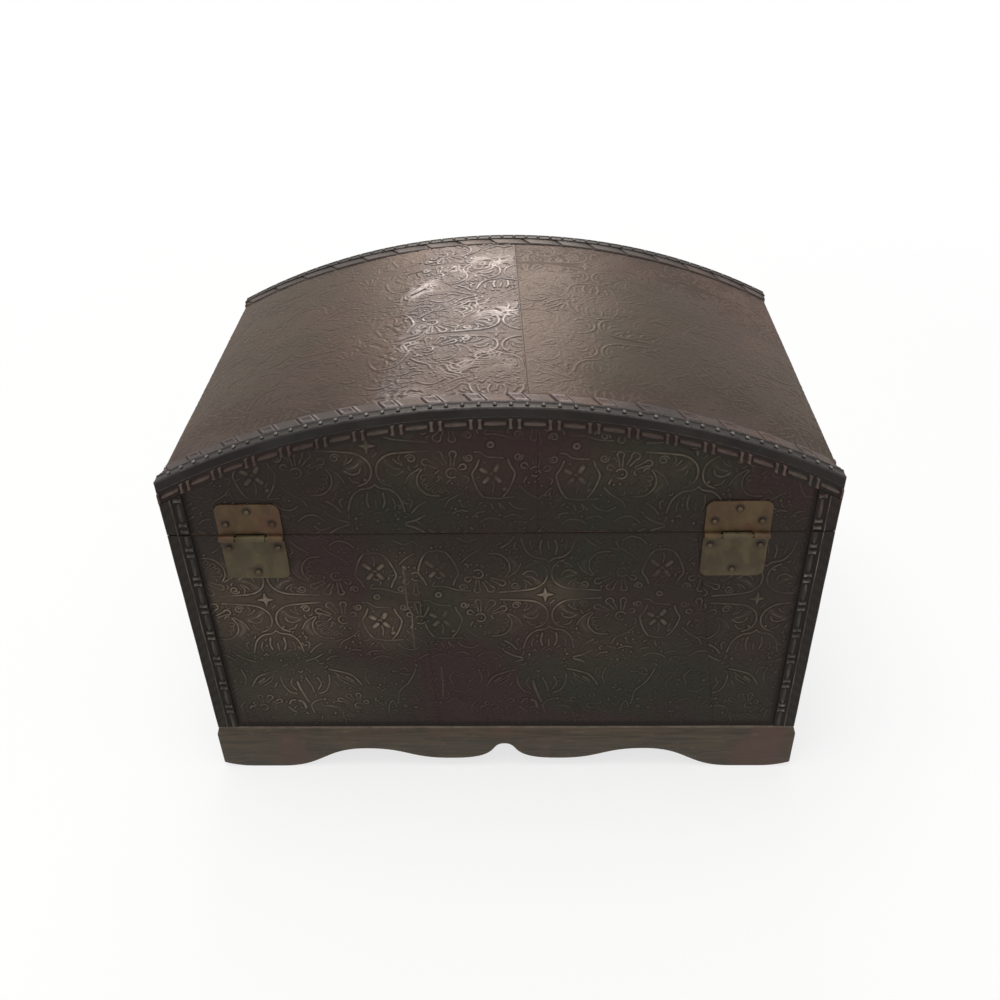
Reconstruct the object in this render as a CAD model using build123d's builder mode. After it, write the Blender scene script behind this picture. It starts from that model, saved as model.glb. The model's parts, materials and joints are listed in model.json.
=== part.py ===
from build123d import *
import os
from math import asin, atan2, cos, degrees, sin, sqrt

# A small domed trunk: a wooden box and an arched lid, clad in thin embossed
# tin, on a scalloped wooden plinth. All lengths are in millimetres. The origin
# is the middle of the footprint on the floor. +Z is up, the latch faces -Y and
# the hinges are on the +Y side, so left is -X and right is +X.

# Overall sizes
trunk_width = 400.0  # over the edge strips of the front and back panels
trunk_depth = 250.4  # over the front and back sheets
plinth_height = 39.5
body_height = 170.0  # walls, from the plinth to the split below the lid
lid_wall = 39.0  # from the split to the corner where the arch begins
arch_rise = 48.5  # top of the arch above that corner

# Wood
board_thickness = 9.0
base_thickness = 6.0
dome_thickness = 4.0
rebate_width = 4.0  # seat of the dome board in each arched board
panel_overhang = 4.0  # how far the front and back panels pass the end walls

# Plinth
plinth_board = 16.0
plinth_proud = 1.9
bevel_height = 6.5
block_size = 18.0
block_clear = 6.0  # the corner blocks stop this far above the floor
corner_lift = 4.0  # the lower edge curls up at the outer corners
foot_outer_inset = 19.0  # the flat of each foot, in from the end of the panel
foot_inner_inset = 40.0
arch_inset = 102.0
arch_top = 18.4
lobe_place = 39.0  # from the middle
lobe_bottom = 8.2
notch_side = 8.5  # a point on the side of the middle notch, from the middle
notch_shoulder = 17.0
notch_top = 23.5
side_foot_outer_inset = 30.0  # the flat of each foot of the short skirts
side_foot_inner_inset = 45.0
side_arch_top = 19.0

# Tin sheets and strips
tin = 0.6
trim = 0.8
reveal = 0.4  # the tin stops this far from the split and from the plinth
lip_height = 6.8
rim_width = 7.0
border_width = 8.0  # raised border below the lip of the rim
strip_width = 14.0  # edge strips on the upright edges
rope_width = 10.0
rope_thickness = 1.0
back_seam_right_inset = 152.0  # upright seams, in from the end of the panel
back_seam_left_inset = 68.0
lid_back_seam = -23.5  # from the middle
lid_top_seam = -7.0
seam_gap = 0.1

# Nails
nail_head_radius = 1.7
nail_head_height = 1.2
nail_round = 0.9  # share of a head's height that is rounded over
nail_radius = 0.9
nail_depth = 7.0  # length in the wood
nail_clearance = 0.05
rim_nail_pitch = 9.0
rim_nail_radius = 1.2
rim_nail_height = 0.9
rim_nail_margin = 7.0  # first nail from the end of the rim

# Hinges
hinge_inset = 54.5  # middle of a hinge, in from the end of the panel
hinge_shift = 3.5  # middle of the pair, along X
hinge_width = 39.0
leaf_thickness = 1.0
leaf_corner = 5.0
upper_leaf_height = 24.0  # measured from the hinge axis
lower_leaf_height = 32.0
barrel_radius = 2.2
barrel_gap = 0.3  # between the barrel and the sheet behind it
axis_drop = 1.5  # hinge axis below the split
centre_knuckle = 17.0
knuckle_gap = 1.5
leaf_gap = 0.5  # between a leaf and the other leaf's knuckles
pin_radius = 1.2
pin_clearance = 0.05
upper_nail_spread = 28.0
upper_nail_low = 9.5
upper_nail_high = 18.5
lower_nail_spread = 30.0
lower_nail_high = 8.0
lower_nail_low = 27.0

# Latch
latch_plate_width = 30.0
latch_plate_height = 20.0
latch_plate_corner = 4.0
latch_drop = 14.0  # pivot below the split
latch_reach = 25.0  # from the pivot to the stud
latch_nail_spread = 21.0
hook_thickness = 1.2
hook_lift = 0.3  # behind the hook, above the nail heads
hook_eye_radius = 5.5
hook_end_radius = 6.8
hook_arm_width = 7.0
hook_gap = 0.2  # in front of the hook
pivot_radius = 2.0
pivot_clearance = 0.1
pivot_head_radius = 4.0
latch_head_height = 0.8
stud_radius = 1.5
stud_head_radius = 2.3
slot_clearance = 1.0

# Handles
handle_height = 150.0  # bail axis above the floor
handle_plate_length = 80.0
handle_plate_height = 22.0
handle_plate_thickness = 1.2
handle_plate_corner = 5.0
handle_nail_spread = 40.0
ear_spacing = 62.0
ear_thickness = 5.0
ear_radius = 4.2
bail_radius = 2.0
bail_clearance = 0.1
bail_stand_off = 5.5  # bail axis from the end sheet
bail_width = 86.0  # between the middles of the legs
bail_drop = 30.0
bail_bend = 8.0
bail_end_length = 3.0  # past the inside of each ear

# Worked out from the sizes above
half_width = trunk_width / 2
half_depth = trunk_depth / 2
panel_half_width = half_width - trim
face_y = half_depth - tin
inner_y = face_y - board_thickness
end_x = half_width - panel_overhang
inner_x = end_x - board_thickness
sheet_x = end_x + tin
strip_y = half_depth + trim
back_seam_right = half_width - back_seam_right_inset
back_seam_left = back_seam_left_inset - half_width
split_height = plinth_height + body_height
spring_height = split_height + lid_wall
foot_outer = half_width - foot_outer_inset
foot_inner = half_width - foot_inner_inset
arch_place = half_width - arch_inset
side_foot_outer = half_depth - side_foot_outer_inset
side_foot_inner = half_depth - side_foot_inner_inset
hinge_spacing = trunk_width - 2 * hinge_inset
rim_radius = (half_width**2 + arch_rise**2) / (2 * arch_rise)
arch_centre = spring_height + arch_rise - rim_radius
edge_radius = rim_radius - trim
dome_top_radius = edge_radius - tin
dome_bottom_radius = dome_top_radius - dome_thickness
dome_half_depth = inner_y + rebate_width
lip_radius = rim_radius - lip_height
border_radius = lip_radius - border_width
plinth_half_width = half_width + plinth_proud
plinth_half_depth = half_depth + plinth_proud
axis_y = half_depth + barrel_gap + barrel_radius
axis_z = split_height - axis_drop
side_knuckle = (hinge_width - centre_knuckle - 2 * knuckle_gap) / 2
pivot_z = split_height - latch_drop
stud_z = pivot_z + latch_reach
latch_face = half_depth + leaf_thickness
hook_face = latch_face + nail_head_height + hook_lift
head_face = hook_face + hook_thickness + hook_gap
head_end = head_face + latch_head_height
bail_x = sheet_x + bail_stand_off
slot_radius = stud_radius + slot_clearance

hinges = {
    "left": hinge_shift - hinge_spacing / 2,
    "right": hinge_shift + hinge_spacing / 2,
}
sides = {"left": -1, "right": 1}
faces = {"front": -1, "back": 1}

os.makedirs("parts", exist_ok=True)


def save(piece, name):
    piece.part.label = name
    export_step(piece.part, f"parts/{name}.step")


# Places of the nails: X and Z on the front and back, Y and Z on the ends
upper_leaf_nails = {
    side: [
        (x - upper_nail_spread / 2, axis_z + upper_nail_low),
        (x + upper_nail_spread / 2, axis_z + upper_nail_low),
        (x, axis_z + upper_nail_high),
    ]
    for side, x in hinges.items()
}
lower_leaf_nails = {
    side: [
        (x - lower_nail_spread / 2, axis_z - lower_nail_high),
        (x + lower_nail_spread / 2, axis_z - lower_nail_high),
        (x, axis_z - lower_nail_low),
    ]
    for side, x in hinges.items()
}
hook_plate_nails = [(s * latch_nail_spread / 2, pivot_z) for s in (-1, 1)]
stud_plate_nails = [(s * latch_nail_spread / 2, stud_z) for s in (-1, 1)]
handle_nails = [(s * handle_nail_spread / 2, handle_height) for s in (-1, 1)]
body_back_nails = lower_leaf_nails["left"] + lower_leaf_nails["right"]
lid_back_nails = upper_leaf_nails["left"] + upper_leaf_nails["right"]
body_nail_places = {"front": hook_plate_nails, "back": body_back_nails}
lid_nail_places = {"front": stud_plate_nails, "back": lid_back_nails}


def upright(y):
    """Plane at this Y, drawn in X and Z, whose extrusions run towards -Y."""
    return Plane.XZ.offset(-y)


def drill_face(places, sign):
    """Cut nail holes into the piece being built, in from the front or the back."""
    top = half_depth + leaf_thickness
    with BuildSketch(upright(sign * top)) as holes:
        with Locations(*places):
            Circle(nail_radius + nail_clearance)
    depth = leaf_thickness + tin + nail_depth
    extrude(holes.sketch, amount=sign * depth, mode=Mode.SUBTRACT)


def drill_end(sign):
    """Cut nail holes into the piece being built, in from the left or the right."""
    top = sheet_x + handle_plate_thickness
    with BuildSketch(Plane.YZ.offset(sign * top)) as holes:
        with Locations(*handle_nails):
            Circle(nail_radius + nail_clearance)
    depth = handle_plate_thickness + tin + nail_depth
    extrude(holes.sketch, amount=-sign * depth, mode=Mode.SUBTRACT)


def inside_span(places, left, right):
    """The nail places that lie between two X values."""
    return [(x, z) for x, z in places if left < x < right]


def arch_height(radius, x):
    return arch_centre + sqrt(radius**2 - x**2)


def arch_line(radius, left, right):
    middle = (left + right) / 2
    ThreePointArc(
        (left, arch_height(radius, left)),
        (middle, arch_height(radius, middle)),
        (right, arch_height(radius, right)),
    )


def arched_panel(y, left, right, bottom, radius):
    """Sketch at this Y with a flat bottom, upright ends and an arched top."""
    with BuildSketch(upright(y)) as outline:
        with BuildLine():
            Line((left, bottom), (right, bottom))
            Line((right, bottom), (right, arch_height(radius, right)))
            arch_line(radius, left, right)
            Line((left, arch_height(radius, left)), (left, bottom))
        make_face()
    return outline.sketch


def arched_band(y, left, right, outer, inner):
    """Sketch at this Y of a band between two arcs about the centre of the arch."""
    with BuildSketch(upright(y)) as outline:
        with BuildLine():
            arch_line(outer, left, right)
            Line((right, arch_height(outer, right)), (right, arch_height(inner, right)))
            arch_line(inner, left, right)
            Line((left, arch_height(inner, left)), (left, arch_height(outer, left)))
        make_face()
    return outline.sketch


# Plinth: four scalloped skirts with a bevelled top edge, and glued corner blocks


def raise_plinth_block():
    """The outer shape of the plinth, with its bevel."""
    bevel_bottom = plinth_height - bevel_height
    with BuildSketch(Plane.XY) as footprint:
        Rectangle(2 * plinth_half_width, 2 * plinth_half_depth)
    extrude(footprint.sketch, amount=bevel_bottom)
    bevel_angle = degrees(atan2(plinth_proud, bevel_height))
    extrude(footprint.sketch.moved(Pos(0, 0, bevel_bottom)), amount=bevel_height, taper=bevel_angle)


def ogee(side, start, end):
    """An S-shaped line between two points of the lower edge, level at both."""
    middle = (start[0] + end[0]) / 2
    Bezier(
        (side * start[0], start[1]),
        (side * middle, start[1]),
        (side * middle, end[1]),
        (side * end[0], end[1]),
    )


def long_skirt(y):
    """Sketch at this Y of the scalloped front or back skirt."""
    notch = [(0, notch_top), (notch_side, notch_shoulder), (lobe_place, lobe_bottom)]
    end = plinth_half_width
    with BuildSketch(upright(y)) as outline:
        with BuildLine():
            for s in (-1, 1):
                Spline([(s * x, z) for x, z in notch], tangents=[(s, 0), (s, 0)])
                ogee(s, (lobe_place, lobe_bottom), (arch_place, arch_top))
                ogee(s, (arch_place, arch_top), (foot_inner, 0))
                Line((s * foot_inner, 0), (s * foot_outer, 0))
                TangentArc((s * foot_outer, 0), (s * end, corner_lift), tangent=(s, 0))
                Line((s * end, corner_lift), (s * end, plinth_height))
            Line((-end, plinth_height), (end, plinth_height))
        make_face()
    return outline.sketch


def short_skirt(x):
    """Sketch at this X of the scalloped left or right skirt."""
    end = plinth_half_depth - plinth_board
    with BuildSketch(Plane.YZ.offset(x)) as outline:
        with BuildLine():
            for s in (-1, 1):
                ogee(s, (0, side_arch_top), (side_foot_inner, 0))
                Line((s * side_foot_inner, 0), (s * side_foot_outer, 0))
                TangentArc((s * side_foot_outer, 0), (s * end, corner_lift), tangent=(s, 0))
                Line((s * end, corner_lift), (s * end, plinth_height))
            Line((-end, plinth_height), (end, plinth_height))
        make_face()
    return outline.sketch


for name, sign in faces.items():
    with BuildPart() as skirt:
        raise_plinth_block()
        outline = long_skirt(sign * plinth_half_depth)
        extrude(outline, amount=sign * plinth_board, mode=Mode.INTERSECT)
    save(skirt, f"plinth_{name}_skirt")

for name, sign in sides.items():
    with BuildPart() as skirt:
        raise_plinth_block()
        outline = short_skirt(sign * plinth_half_width)
        extrude(outline, amount=-sign * plinth_board, mode=Mode.INTERSECT)
    save(skirt, f"plinth_{name}_skirt")

with BuildPart() as plinth_corner_blocks:
    block_x = plinth_half_width - plinth_board - block_size / 2
    block_y = plinth_half_depth - plinth_board - block_size / 2
    with BuildSketch(Plane.XY.offset(block_clear)):
        with GridLocations(2 * block_x, 2 * block_y, 2, 2):
            Rectangle(block_size, block_size)
    extrude(amount=plinth_height - block_clear)
save(plinth_corner_blocks, "plinth_corner_blocks")

# Body: four walls standing on the plinth, with the base board let in between

with BuildPart() as base_board:
    with BuildSketch(Plane.XY.offset(plinth_height)):
        Rectangle(2 * inner_x, 2 * inner_y)
    extrude(amount=base_thickness)
save(base_board, "base_board")

for name, sign in faces.items():
    with BuildPart() as board:
        with BuildSketch(Plane.XY.offset(plinth_height)):
            with Locations((0, sign * (face_y - board_thickness / 2))):
                Rectangle(2 * panel_half_width, board_thickness)
        extrude(amount=body_height)
        drill_face(body_nail_places[name], sign)
    save(board, f"body_{name}_board")

for name, sign in sides.items():
    with BuildPart() as board:
        with BuildSketch(Plane.XY.offset(plinth_height)):
            with Locations((sign * (end_x - board_thickness / 2), 0)):
                Rectangle(board_thickness, 2 * inner_y)
        extrude(amount=body_height)
        drill_end(sign)
    save(board, f"body_{name}_board")

# Tin on the body: three sheets on the back, one on the front and one on each end

body_sheets = {
    "body_back_sheet_left": ("back", -panel_half_width, back_seam_left),
    "body_back_sheet_middle": ("back", back_seam_left + seam_gap, back_seam_right),
    "body_back_sheet_right": ("back", back_seam_right + seam_gap, panel_half_width),
    "body_front_sheet": ("front", -panel_half_width, panel_half_width),
}
for name, (face, left, right) in body_sheets.items():
    places = inside_span(body_nail_places[face], left, right)
    with BuildPart() as sheet:
        with BuildSketch(Plane.XY.offset(plinth_height + reveal)):
            with Locations(((left + right) / 2, faces[face] * (face_y + tin / 2))):
                Rectangle(right - left, tin)
        extrude(amount=body_height - 2 * reveal)
        if places:
            drill_face(places, faces[face])
    save(sheet, name)

for name, sign in sides.items():
    with BuildPart() as sheet:
        with BuildSketch(Plane.XY.offset(plinth_height + reveal)):
            with Locations((sign * (end_x + tin / 2), 0)):
                Rectangle(tin, 2 * inner_y)
        extrude(amount=body_height - 2 * reveal)
        drill_end(sign)
    save(sheet, f"body_{name}_sheet")

# Edge strips: an L of tin folded round each upright edge of the panels

for face, face_sign in faces.items():
    for side, side_sign in sides.items():
        with BuildPart() as strip:
            with BuildSketch(Plane.XY.offset(plinth_height + reveal)):
                with Locations(
                    (side_sign * (half_width - strip_width / 2), face_sign * (half_depth + trim / 2))
                ):
                    Rectangle(strip_width, trim)
                with Locations(
                    (side_sign * (half_width - trim / 2), face_sign * (inner_y + half_depth) / 2)
                ):
                    Rectangle(trim, half_depth - inner_y)
            extrude(amount=body_height - 2 * reveal)
        save(strip, f"body_{face}_{side}_strip")

        left, right = sorted((side_sign * (half_width - strip_width), side_sign * half_width))
        edge_left, edge_right = sorted((side_sign * panel_half_width, side_sign * half_width))
        with BuildPart() as strip:
            outline = arched_panel(face_sign * strip_y, left, right, split_height + reveal, border_radius)
            extrude(outline, amount=face_sign * trim)
            y = face_sign * half_depth
            outline = arched_panel(y, edge_left, edge_right, split_height + reveal, edge_radius)
            extrude(outline, amount=face_sign * (half_depth - inner_y))
        save(strip, f"lid_{face}_{side}_strip")

# Lid: two arched boards, two end rails and a thin board bent over them

for name, sign in faces.items():
    with BuildPart() as board:
        end = panel_half_width
        outline = arched_panel(sign * face_y, -end, end, split_height, edge_radius)
        extrude(outline, amount=sign * board_thickness)
        outline = arched_band(sign * dome_half_depth, -sheet_x, sheet_x, rim_radius, dome_bottom_radius)
        extrude(outline, amount=sign * rebate_width, mode=Mode.SUBTRACT)
        drill_face(lid_nail_places[name], sign)
    save(board, f"lid_{name}_board")

for name, sign in sides.items():
    left, right = sorted((sign * inner_x, sign * end_x))
    with BuildPart() as rail:
        outline = arched_panel(inner_y, left, right, split_height, dome_bottom_radius)
        extrude(outline, amount=2 * inner_y)
    save(rail, f"lid_{name}_rail")

    left, right = sorted((sign * end_x, sign * sheet_x))
    with BuildPart() as sheet:
        outline = arched_panel(inner_y, left, right, split_height + reveal, dome_top_radius)
        extrude(outline, amount=2 * inner_y)
    save(sheet, f"lid_{name}_sheet")

with BuildPart() as lid_dome_board:
    outline = arched_band(dome_half_depth, -end_x, end_x, dome_top_radius, dome_bottom_radius)
    extrude(outline, amount=2 * dome_half_depth)
save(lid_dome_board, "lid_dome_board")

top_spans = {"left": (-sheet_x, lid_top_seam), "right": (lid_top_seam + seam_gap, sheet_x)}
for name, (left, right) in top_spans.items():
    with BuildPart() as sheet:
        outline = arched_band(dome_half_depth, left, right, edge_radius, dome_top_radius)
        extrude(outline, amount=2 * dome_half_depth)
    save(sheet, f"lid_top_sheet_{name}")

lid_sheets = {
    "lid_back_sheet_left": ("back", -panel_half_width, lid_back_seam),
    "lid_back_sheet_right": ("back", lid_back_seam + seam_gap, panel_half_width),
    "lid_front_sheet": ("front", -panel_half_width, panel_half_width),
}
for name, (face, left, right) in lid_sheets.items():
    sign = faces[face]
    with BuildPart() as sheet:
        outline = arched_panel(sign * half_depth, left, right, split_height + reveal, edge_radius)
        extrude(outline, amount=sign * tin)
        drill_face(inside_span(lid_nail_places[face], left, right), sign)
    save(sheet, name)

# Rim, raised border and rope strip along each arch

for name, sign in faces.items():
    with BuildPart() as rim:
        outline = arched_band(sign * strip_y, -half_width, half_width, rim_radius, edge_radius)
        extrude(outline, amount=sign * rim_width)
        outline = arched_band(sign * strip_y, -half_width, half_width, rim_radius, lip_radius)
        extrude(outline, amount=sign * trim)
    save(rim, f"lid_{name}_rim")

    with BuildPart() as border:
        outline = arched_band(sign * strip_y, -half_width, half_width, lip_radius, border_radius)
        extrude(outline, amount=sign * trim)
    save(border, f"lid_{name}_border")

    with BuildPart() as rope:
        rope_top = edge_radius + rope_thickness
        outline = arched_band(sign * (strip_y - rim_width), -sheet_x, sheet_x, rope_top, edge_radius)
        extrude(outline, amount=sign * rope_width)
    save(rope, f"lid_{name}_rope_strip")

# Nails

with BuildPart() as nail:
    with BuildSketch(Plane.XY):
        Circle(nail_head_radius)
    extrude(amount=nail_head_height)
    fillet(nail.edges().group_by(Axis.Z)[-1], radius=nail_head_height * nail_round)
    with BuildSketch(Plane.XY):
        Circle(nail_radius)
    extrude(amount=-(leaf_thickness + tin + nail_depth))

with BuildPart() as rim_nail:
    with BuildSketch(Plane.XY):
        Circle(rim_nail_radius)
    extrude(amount=rim_nail_height)
    fillet(rim_nail.edges().group_by(Axis.Z)[-1], radius=rim_nail_height * nail_round)


def face_places(places, sign):
    y = sign * (half_depth + leaf_thickness)
    return [Plane(origin=(x, y, z), z_dir=(0, sign, 0)) for x, z in places]


def end_places(sign):
    x = sign * (sheet_x + handle_plate_thickness)
    return [Plane(origin=(x, y, z), z_dir=(sign, 0, 0)) for y, z in handle_nails]


with BuildPart() as body_nails:
    with Locations(
        *face_places(hook_plate_nails, -1),
        *face_places(body_back_nails, 1),
        *end_places(-1),
        *end_places(1),
    ):
        add(nail.part)
save(body_nails, "body_nails")

with BuildPart() as lid_nails:
    with Locations(*face_places(stud_plate_nails, -1), *face_places(lid_back_nails, 1)):
        add(nail.part)
save(lid_nails, "lid_nails")

rim_half_angle = asin(half_width / rim_radius) - rim_nail_margin / rim_radius
rim_nail_count = int(2 * rim_half_angle * rim_radius / rim_nail_pitch)
rim_places = []
for i in range(rim_nail_count + 1):
    angle = (i - rim_nail_count / 2) * rim_nail_pitch / rim_radius
    outward = (sin(angle), 0, cos(angle))
    for sign in faces.values():
        y = sign * (strip_y - rim_width / 2)
        place = (rim_radius * sin(angle), y, arch_centre + rim_radius * cos(angle))
        rim_places.append(Plane(origin=place, z_dir=outward))
with BuildPart() as rim_nails:
    with Locations(*rim_places):
        add(rim_nail.part)
save(rim_nails, "rim_nails")

# Hinges: the lower leaf carries the middle knuckle, the upper leaf the other two


def add_knuckles(spans):
    """Knuckles about the hinge axis, each a middle and a length along X."""
    for middle, length in spans:
        with BuildSketch(Plane.YZ.offset(middle)) as section:
            with Locations((axis_y, axis_z)):
                Circle(barrel_radius)
        extrude(section.sketch, amount=length / 2, both=True)


def bore_knuckles(x):
    with BuildSketch(Plane.YZ.offset(x)) as bore:
        with Locations((axis_y, axis_z)):
            Circle(pin_radius + pin_clearance)
    extrude(bore.sketch, amount=hinge_width, both=True, mode=Mode.SUBTRACT)


def clear_knuckles(spans):
    """Cut the leaf back from the other leaf's knuckles."""
    for middle, length in spans:
        with BuildSketch(upright(half_depth + leaf_thickness)) as notch:
            with Locations((middle, axis_z)):
                Rectangle(length + 2 * leaf_gap, 2 * (barrel_radius + leaf_gap))
        extrude(notch.sketch, amount=leaf_thickness, mode=Mode.SUBTRACT)


def make_leaf(x, direction, height, places, own, others):
    with BuildPart() as leaf:
        with BuildSketch(upright(half_depth + leaf_thickness)):
            with Locations((x, axis_z + direction * height / 2)):
                Rectangle(hinge_width, height)
        extrude(amount=leaf_thickness)
        far_edges = leaf.edges().filter_by(Axis.Y).group_by(Axis.Z)
        fillet(far_edges[-1] if direction > 0 else far_edges[0], radius=leaf_corner)
        clear_knuckles(others)
        add_knuckles(own)
        bore_knuckles(x)
        drill_face(places, 1)
    return leaf


for name, x in hinges.items():
    side_offset = (centre_knuckle + side_knuckle) / 2 + knuckle_gap
    side_spans = [(x - side_offset, side_knuckle), (x + side_offset, side_knuckle)]
    centre_span = [(x, centre_knuckle)]
    upper = make_leaf(x, 1, upper_leaf_height, upper_leaf_nails[name], side_spans, centre_span)
    save(upper, f"{name}_hinge_upper_leaf")
    lower = make_leaf(x, -1, lower_leaf_height, lower_leaf_nails[name], centre_span, side_spans)
    save(lower, f"{name}_hinge_lower_leaf")

with BuildPart() as hinge_pins:
    for x in hinges.values():
        with BuildSketch(Plane.YZ.offset(x)):
            with Locations((axis_y, axis_z)):
                Circle(pin_radius)
        extrude(amount=hinge_width / 2, both=True)
save(hinge_pins, "hinge_pins")

# Latch: a hook that swings on the body and catches a stud on the lid


def latch_plate(z, places):
    with BuildPart() as plate:
        with BuildSketch(upright(-half_depth)):
            with Locations((0, z)):
                RectangleRounded(latch_plate_width, latch_plate_height, latch_plate_corner)
        extrude(amount=leaf_thickness)
        drill_face(places, -1)
    return plate


def latch_post(z, radius, head_radius):
    """A post standing on its plate, with a round head in front of the hook."""
    with BuildPart() as post:
        with BuildSketch(upright(-latch_face)):
            with Locations((0, z)):
                Circle(radius)
        extrude(amount=head_face - latch_face)
        with BuildSketch(upright(-head_face)):
            with Locations((0, z)):
                Circle(head_radius)
        extrude(amount=head_end - head_face)
        fillet(post.edges().group_by(Axis.Y)[0], radius=latch_head_height / 2)
    return post


save(latch_plate(pivot_z, hook_plate_nails), "latch_hook_plate")
save(latch_plate(stud_z, stud_plate_nails), "latch_stud_plate")
save(latch_post(pivot_z, pivot_radius, pivot_head_radius), "latch_pivot")
save(latch_post(stud_z, stud_radius, stud_head_radius), "latch_stud")

with BuildPart() as latch_hook:
    hook_end_z = pivot_z - latch_reach
    with BuildSketch(upright(-hook_face)):
        with Locations((0, pivot_z)):
            Circle(hook_eye_radius)
        with Locations((0, (pivot_z + hook_end_z) / 2)):
            Rectangle(hook_arm_width, latch_reach)
        with Locations((0, hook_end_z)):
            Circle(hook_end_radius)
        with Locations((0, pivot_z)):
            Circle(pivot_radius + pivot_clearance, mode=Mode.SUBTRACT)
        with Locations((0, hook_end_z)):
            Circle(slot_radius, mode=Mode.SUBTRACT)
        with Locations((hook_end_radius / 2, hook_end_z)):
            Rectangle(hook_end_radius, 2 * slot_radius, mode=Mode.SUBTRACT)
    extrude(amount=hook_thickness)
save(latch_hook, "latch_hook")

# Handles: a bail that swings in two ears on a plate at each end

for name, sign in sides.items():
    with BuildPart() as plate:
        with BuildSketch(Plane.YZ.offset(sign * sheet_x)):
            with Locations((0, handle_height)):
                RectangleRounded(handle_plate_length, handle_plate_height, handle_plate_corner)
        extrude(amount=sign * handle_plate_thickness)
        for s in (-1, 1):
            with BuildSketch(upright(s * ear_spacing / 2)):
                with Locations((sign * bail_x, handle_height)):
                    Circle(ear_radius)
                with Locations((sign * (sheet_x + bail_x) / 2, handle_height)):
                    Rectangle(bail_x - sheet_x, 2 * ear_radius)
                with Locations((sign * bail_x, handle_height)):
                    Circle(bail_radius + bail_clearance, mode=Mode.SUBTRACT)
            extrude(amount=ear_thickness / 2, both=True)
        drill_end(sign)
    save(plate, f"{name}_handle_plate")

    leg_y = bail_width / 2
    end_y = ear_spacing / 2 - ear_thickness / 2 - bail_end_length
    bail_plane = Plane(origin=(sign * bail_x, 0, handle_height), x_dir=(0, 1, 0), z_dir=(1, 0, 0))
    with BuildPart() as bail:
        with BuildLine(bail_plane) as bail_path:
            FilletPolyline(
                (end_y, 0),
                (leg_y, 0),
                (leg_y, -bail_drop),
                (-leg_y, -bail_drop),
                (-leg_y, 0),
                (-end_y, 0),
                radius=bail_bend,
            )
        with BuildSketch(Plane(origin=bail_path.line @ 0, z_dir=bail_path.line % 0)):
            Circle(bail_radius)
        sweep()
    save(bail, f"{name}_handle_bail")
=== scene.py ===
import json
import math

import bmesh
import bpy
import numpy as np
from numpy import clip, cos, exp, sin
from mathutils import Matrix, Vector

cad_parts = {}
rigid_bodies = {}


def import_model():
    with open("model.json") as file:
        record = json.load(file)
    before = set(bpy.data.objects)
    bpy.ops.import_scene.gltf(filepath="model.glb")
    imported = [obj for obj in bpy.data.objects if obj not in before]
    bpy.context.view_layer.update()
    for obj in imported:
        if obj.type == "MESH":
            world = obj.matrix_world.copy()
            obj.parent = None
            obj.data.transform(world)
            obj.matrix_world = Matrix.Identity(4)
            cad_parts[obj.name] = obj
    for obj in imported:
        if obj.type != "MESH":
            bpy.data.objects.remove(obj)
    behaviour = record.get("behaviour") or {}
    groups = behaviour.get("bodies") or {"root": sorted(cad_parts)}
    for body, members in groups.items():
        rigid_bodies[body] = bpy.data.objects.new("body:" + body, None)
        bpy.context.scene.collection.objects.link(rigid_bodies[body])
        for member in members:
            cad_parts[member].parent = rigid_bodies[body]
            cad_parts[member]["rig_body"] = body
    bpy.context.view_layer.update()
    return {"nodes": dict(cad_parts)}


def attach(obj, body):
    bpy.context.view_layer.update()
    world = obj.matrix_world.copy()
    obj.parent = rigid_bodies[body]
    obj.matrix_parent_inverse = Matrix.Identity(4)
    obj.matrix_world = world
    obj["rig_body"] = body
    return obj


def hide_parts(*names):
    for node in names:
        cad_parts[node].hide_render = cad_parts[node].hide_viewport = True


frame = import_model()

nodes = frame["nodes"]
mm = 0.001
print("frame loaded,", len(nodes), "nodes")

# the trunk's main sizes in mm: x along the arch, y from front to back, z up
trunk = {
    "halfWidth": 200.0, "halfDepth": 125.2,
    "plinthTop": 39.5, "split": 209.5, "spring": 248.5, "rise": 48.5,
    "sheetX": 196.6,      # outside of the tin on the ends
    "innerY": 115.6,      # where the end tin meets the arched panels
    "lip": 6.8, "border": 8.0, "rimWidth": 7.0, "ropeWidth": 10.0, "stripWidth": 14.0,
    "trim": 0.8, "reveal": 0.4,
}
halfWidth, halfDepth = trunk["halfWidth"], trunk["halfDepth"]
rimRadius = (halfWidth ** 2 + trunk["rise"] ** 2) / (2 * trunk["rise"])
archCentre = trunk["spring"] + trunk["rise"] - rimRadius
edgeRadius = rimRadius - trunk["trim"]
stripY = halfDepth + trunk["trim"]
rimEnd = rimRadius * math.asin(halfWidth / rimRadius)
bodyBottom = trunk["plinthTop"] + trunk["reveal"]
bodyTop = trunk["split"] - trunk["reveal"]
lidBottom = trunk["split"] + trunk["reveal"]


def archHeight(radius, x):
    return archCentre + np.sqrt(radius ** 2 - x ** 2)


def title(first, *others):
    return first + "".join(word.capitalize() for word in others)


def addObject(name, data):
    added = bpy.data.objects.new(name, data)
    bpy.context.scene.collection.objects.link(added)
    return added


# camera and light

cameraSetup = {
    "place": (-0.01796, 0.61302, 0.58539), "yaw": 1.93, "pitch": 35.78, "roll": -1.57, "lens": 36.99,
}


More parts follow.
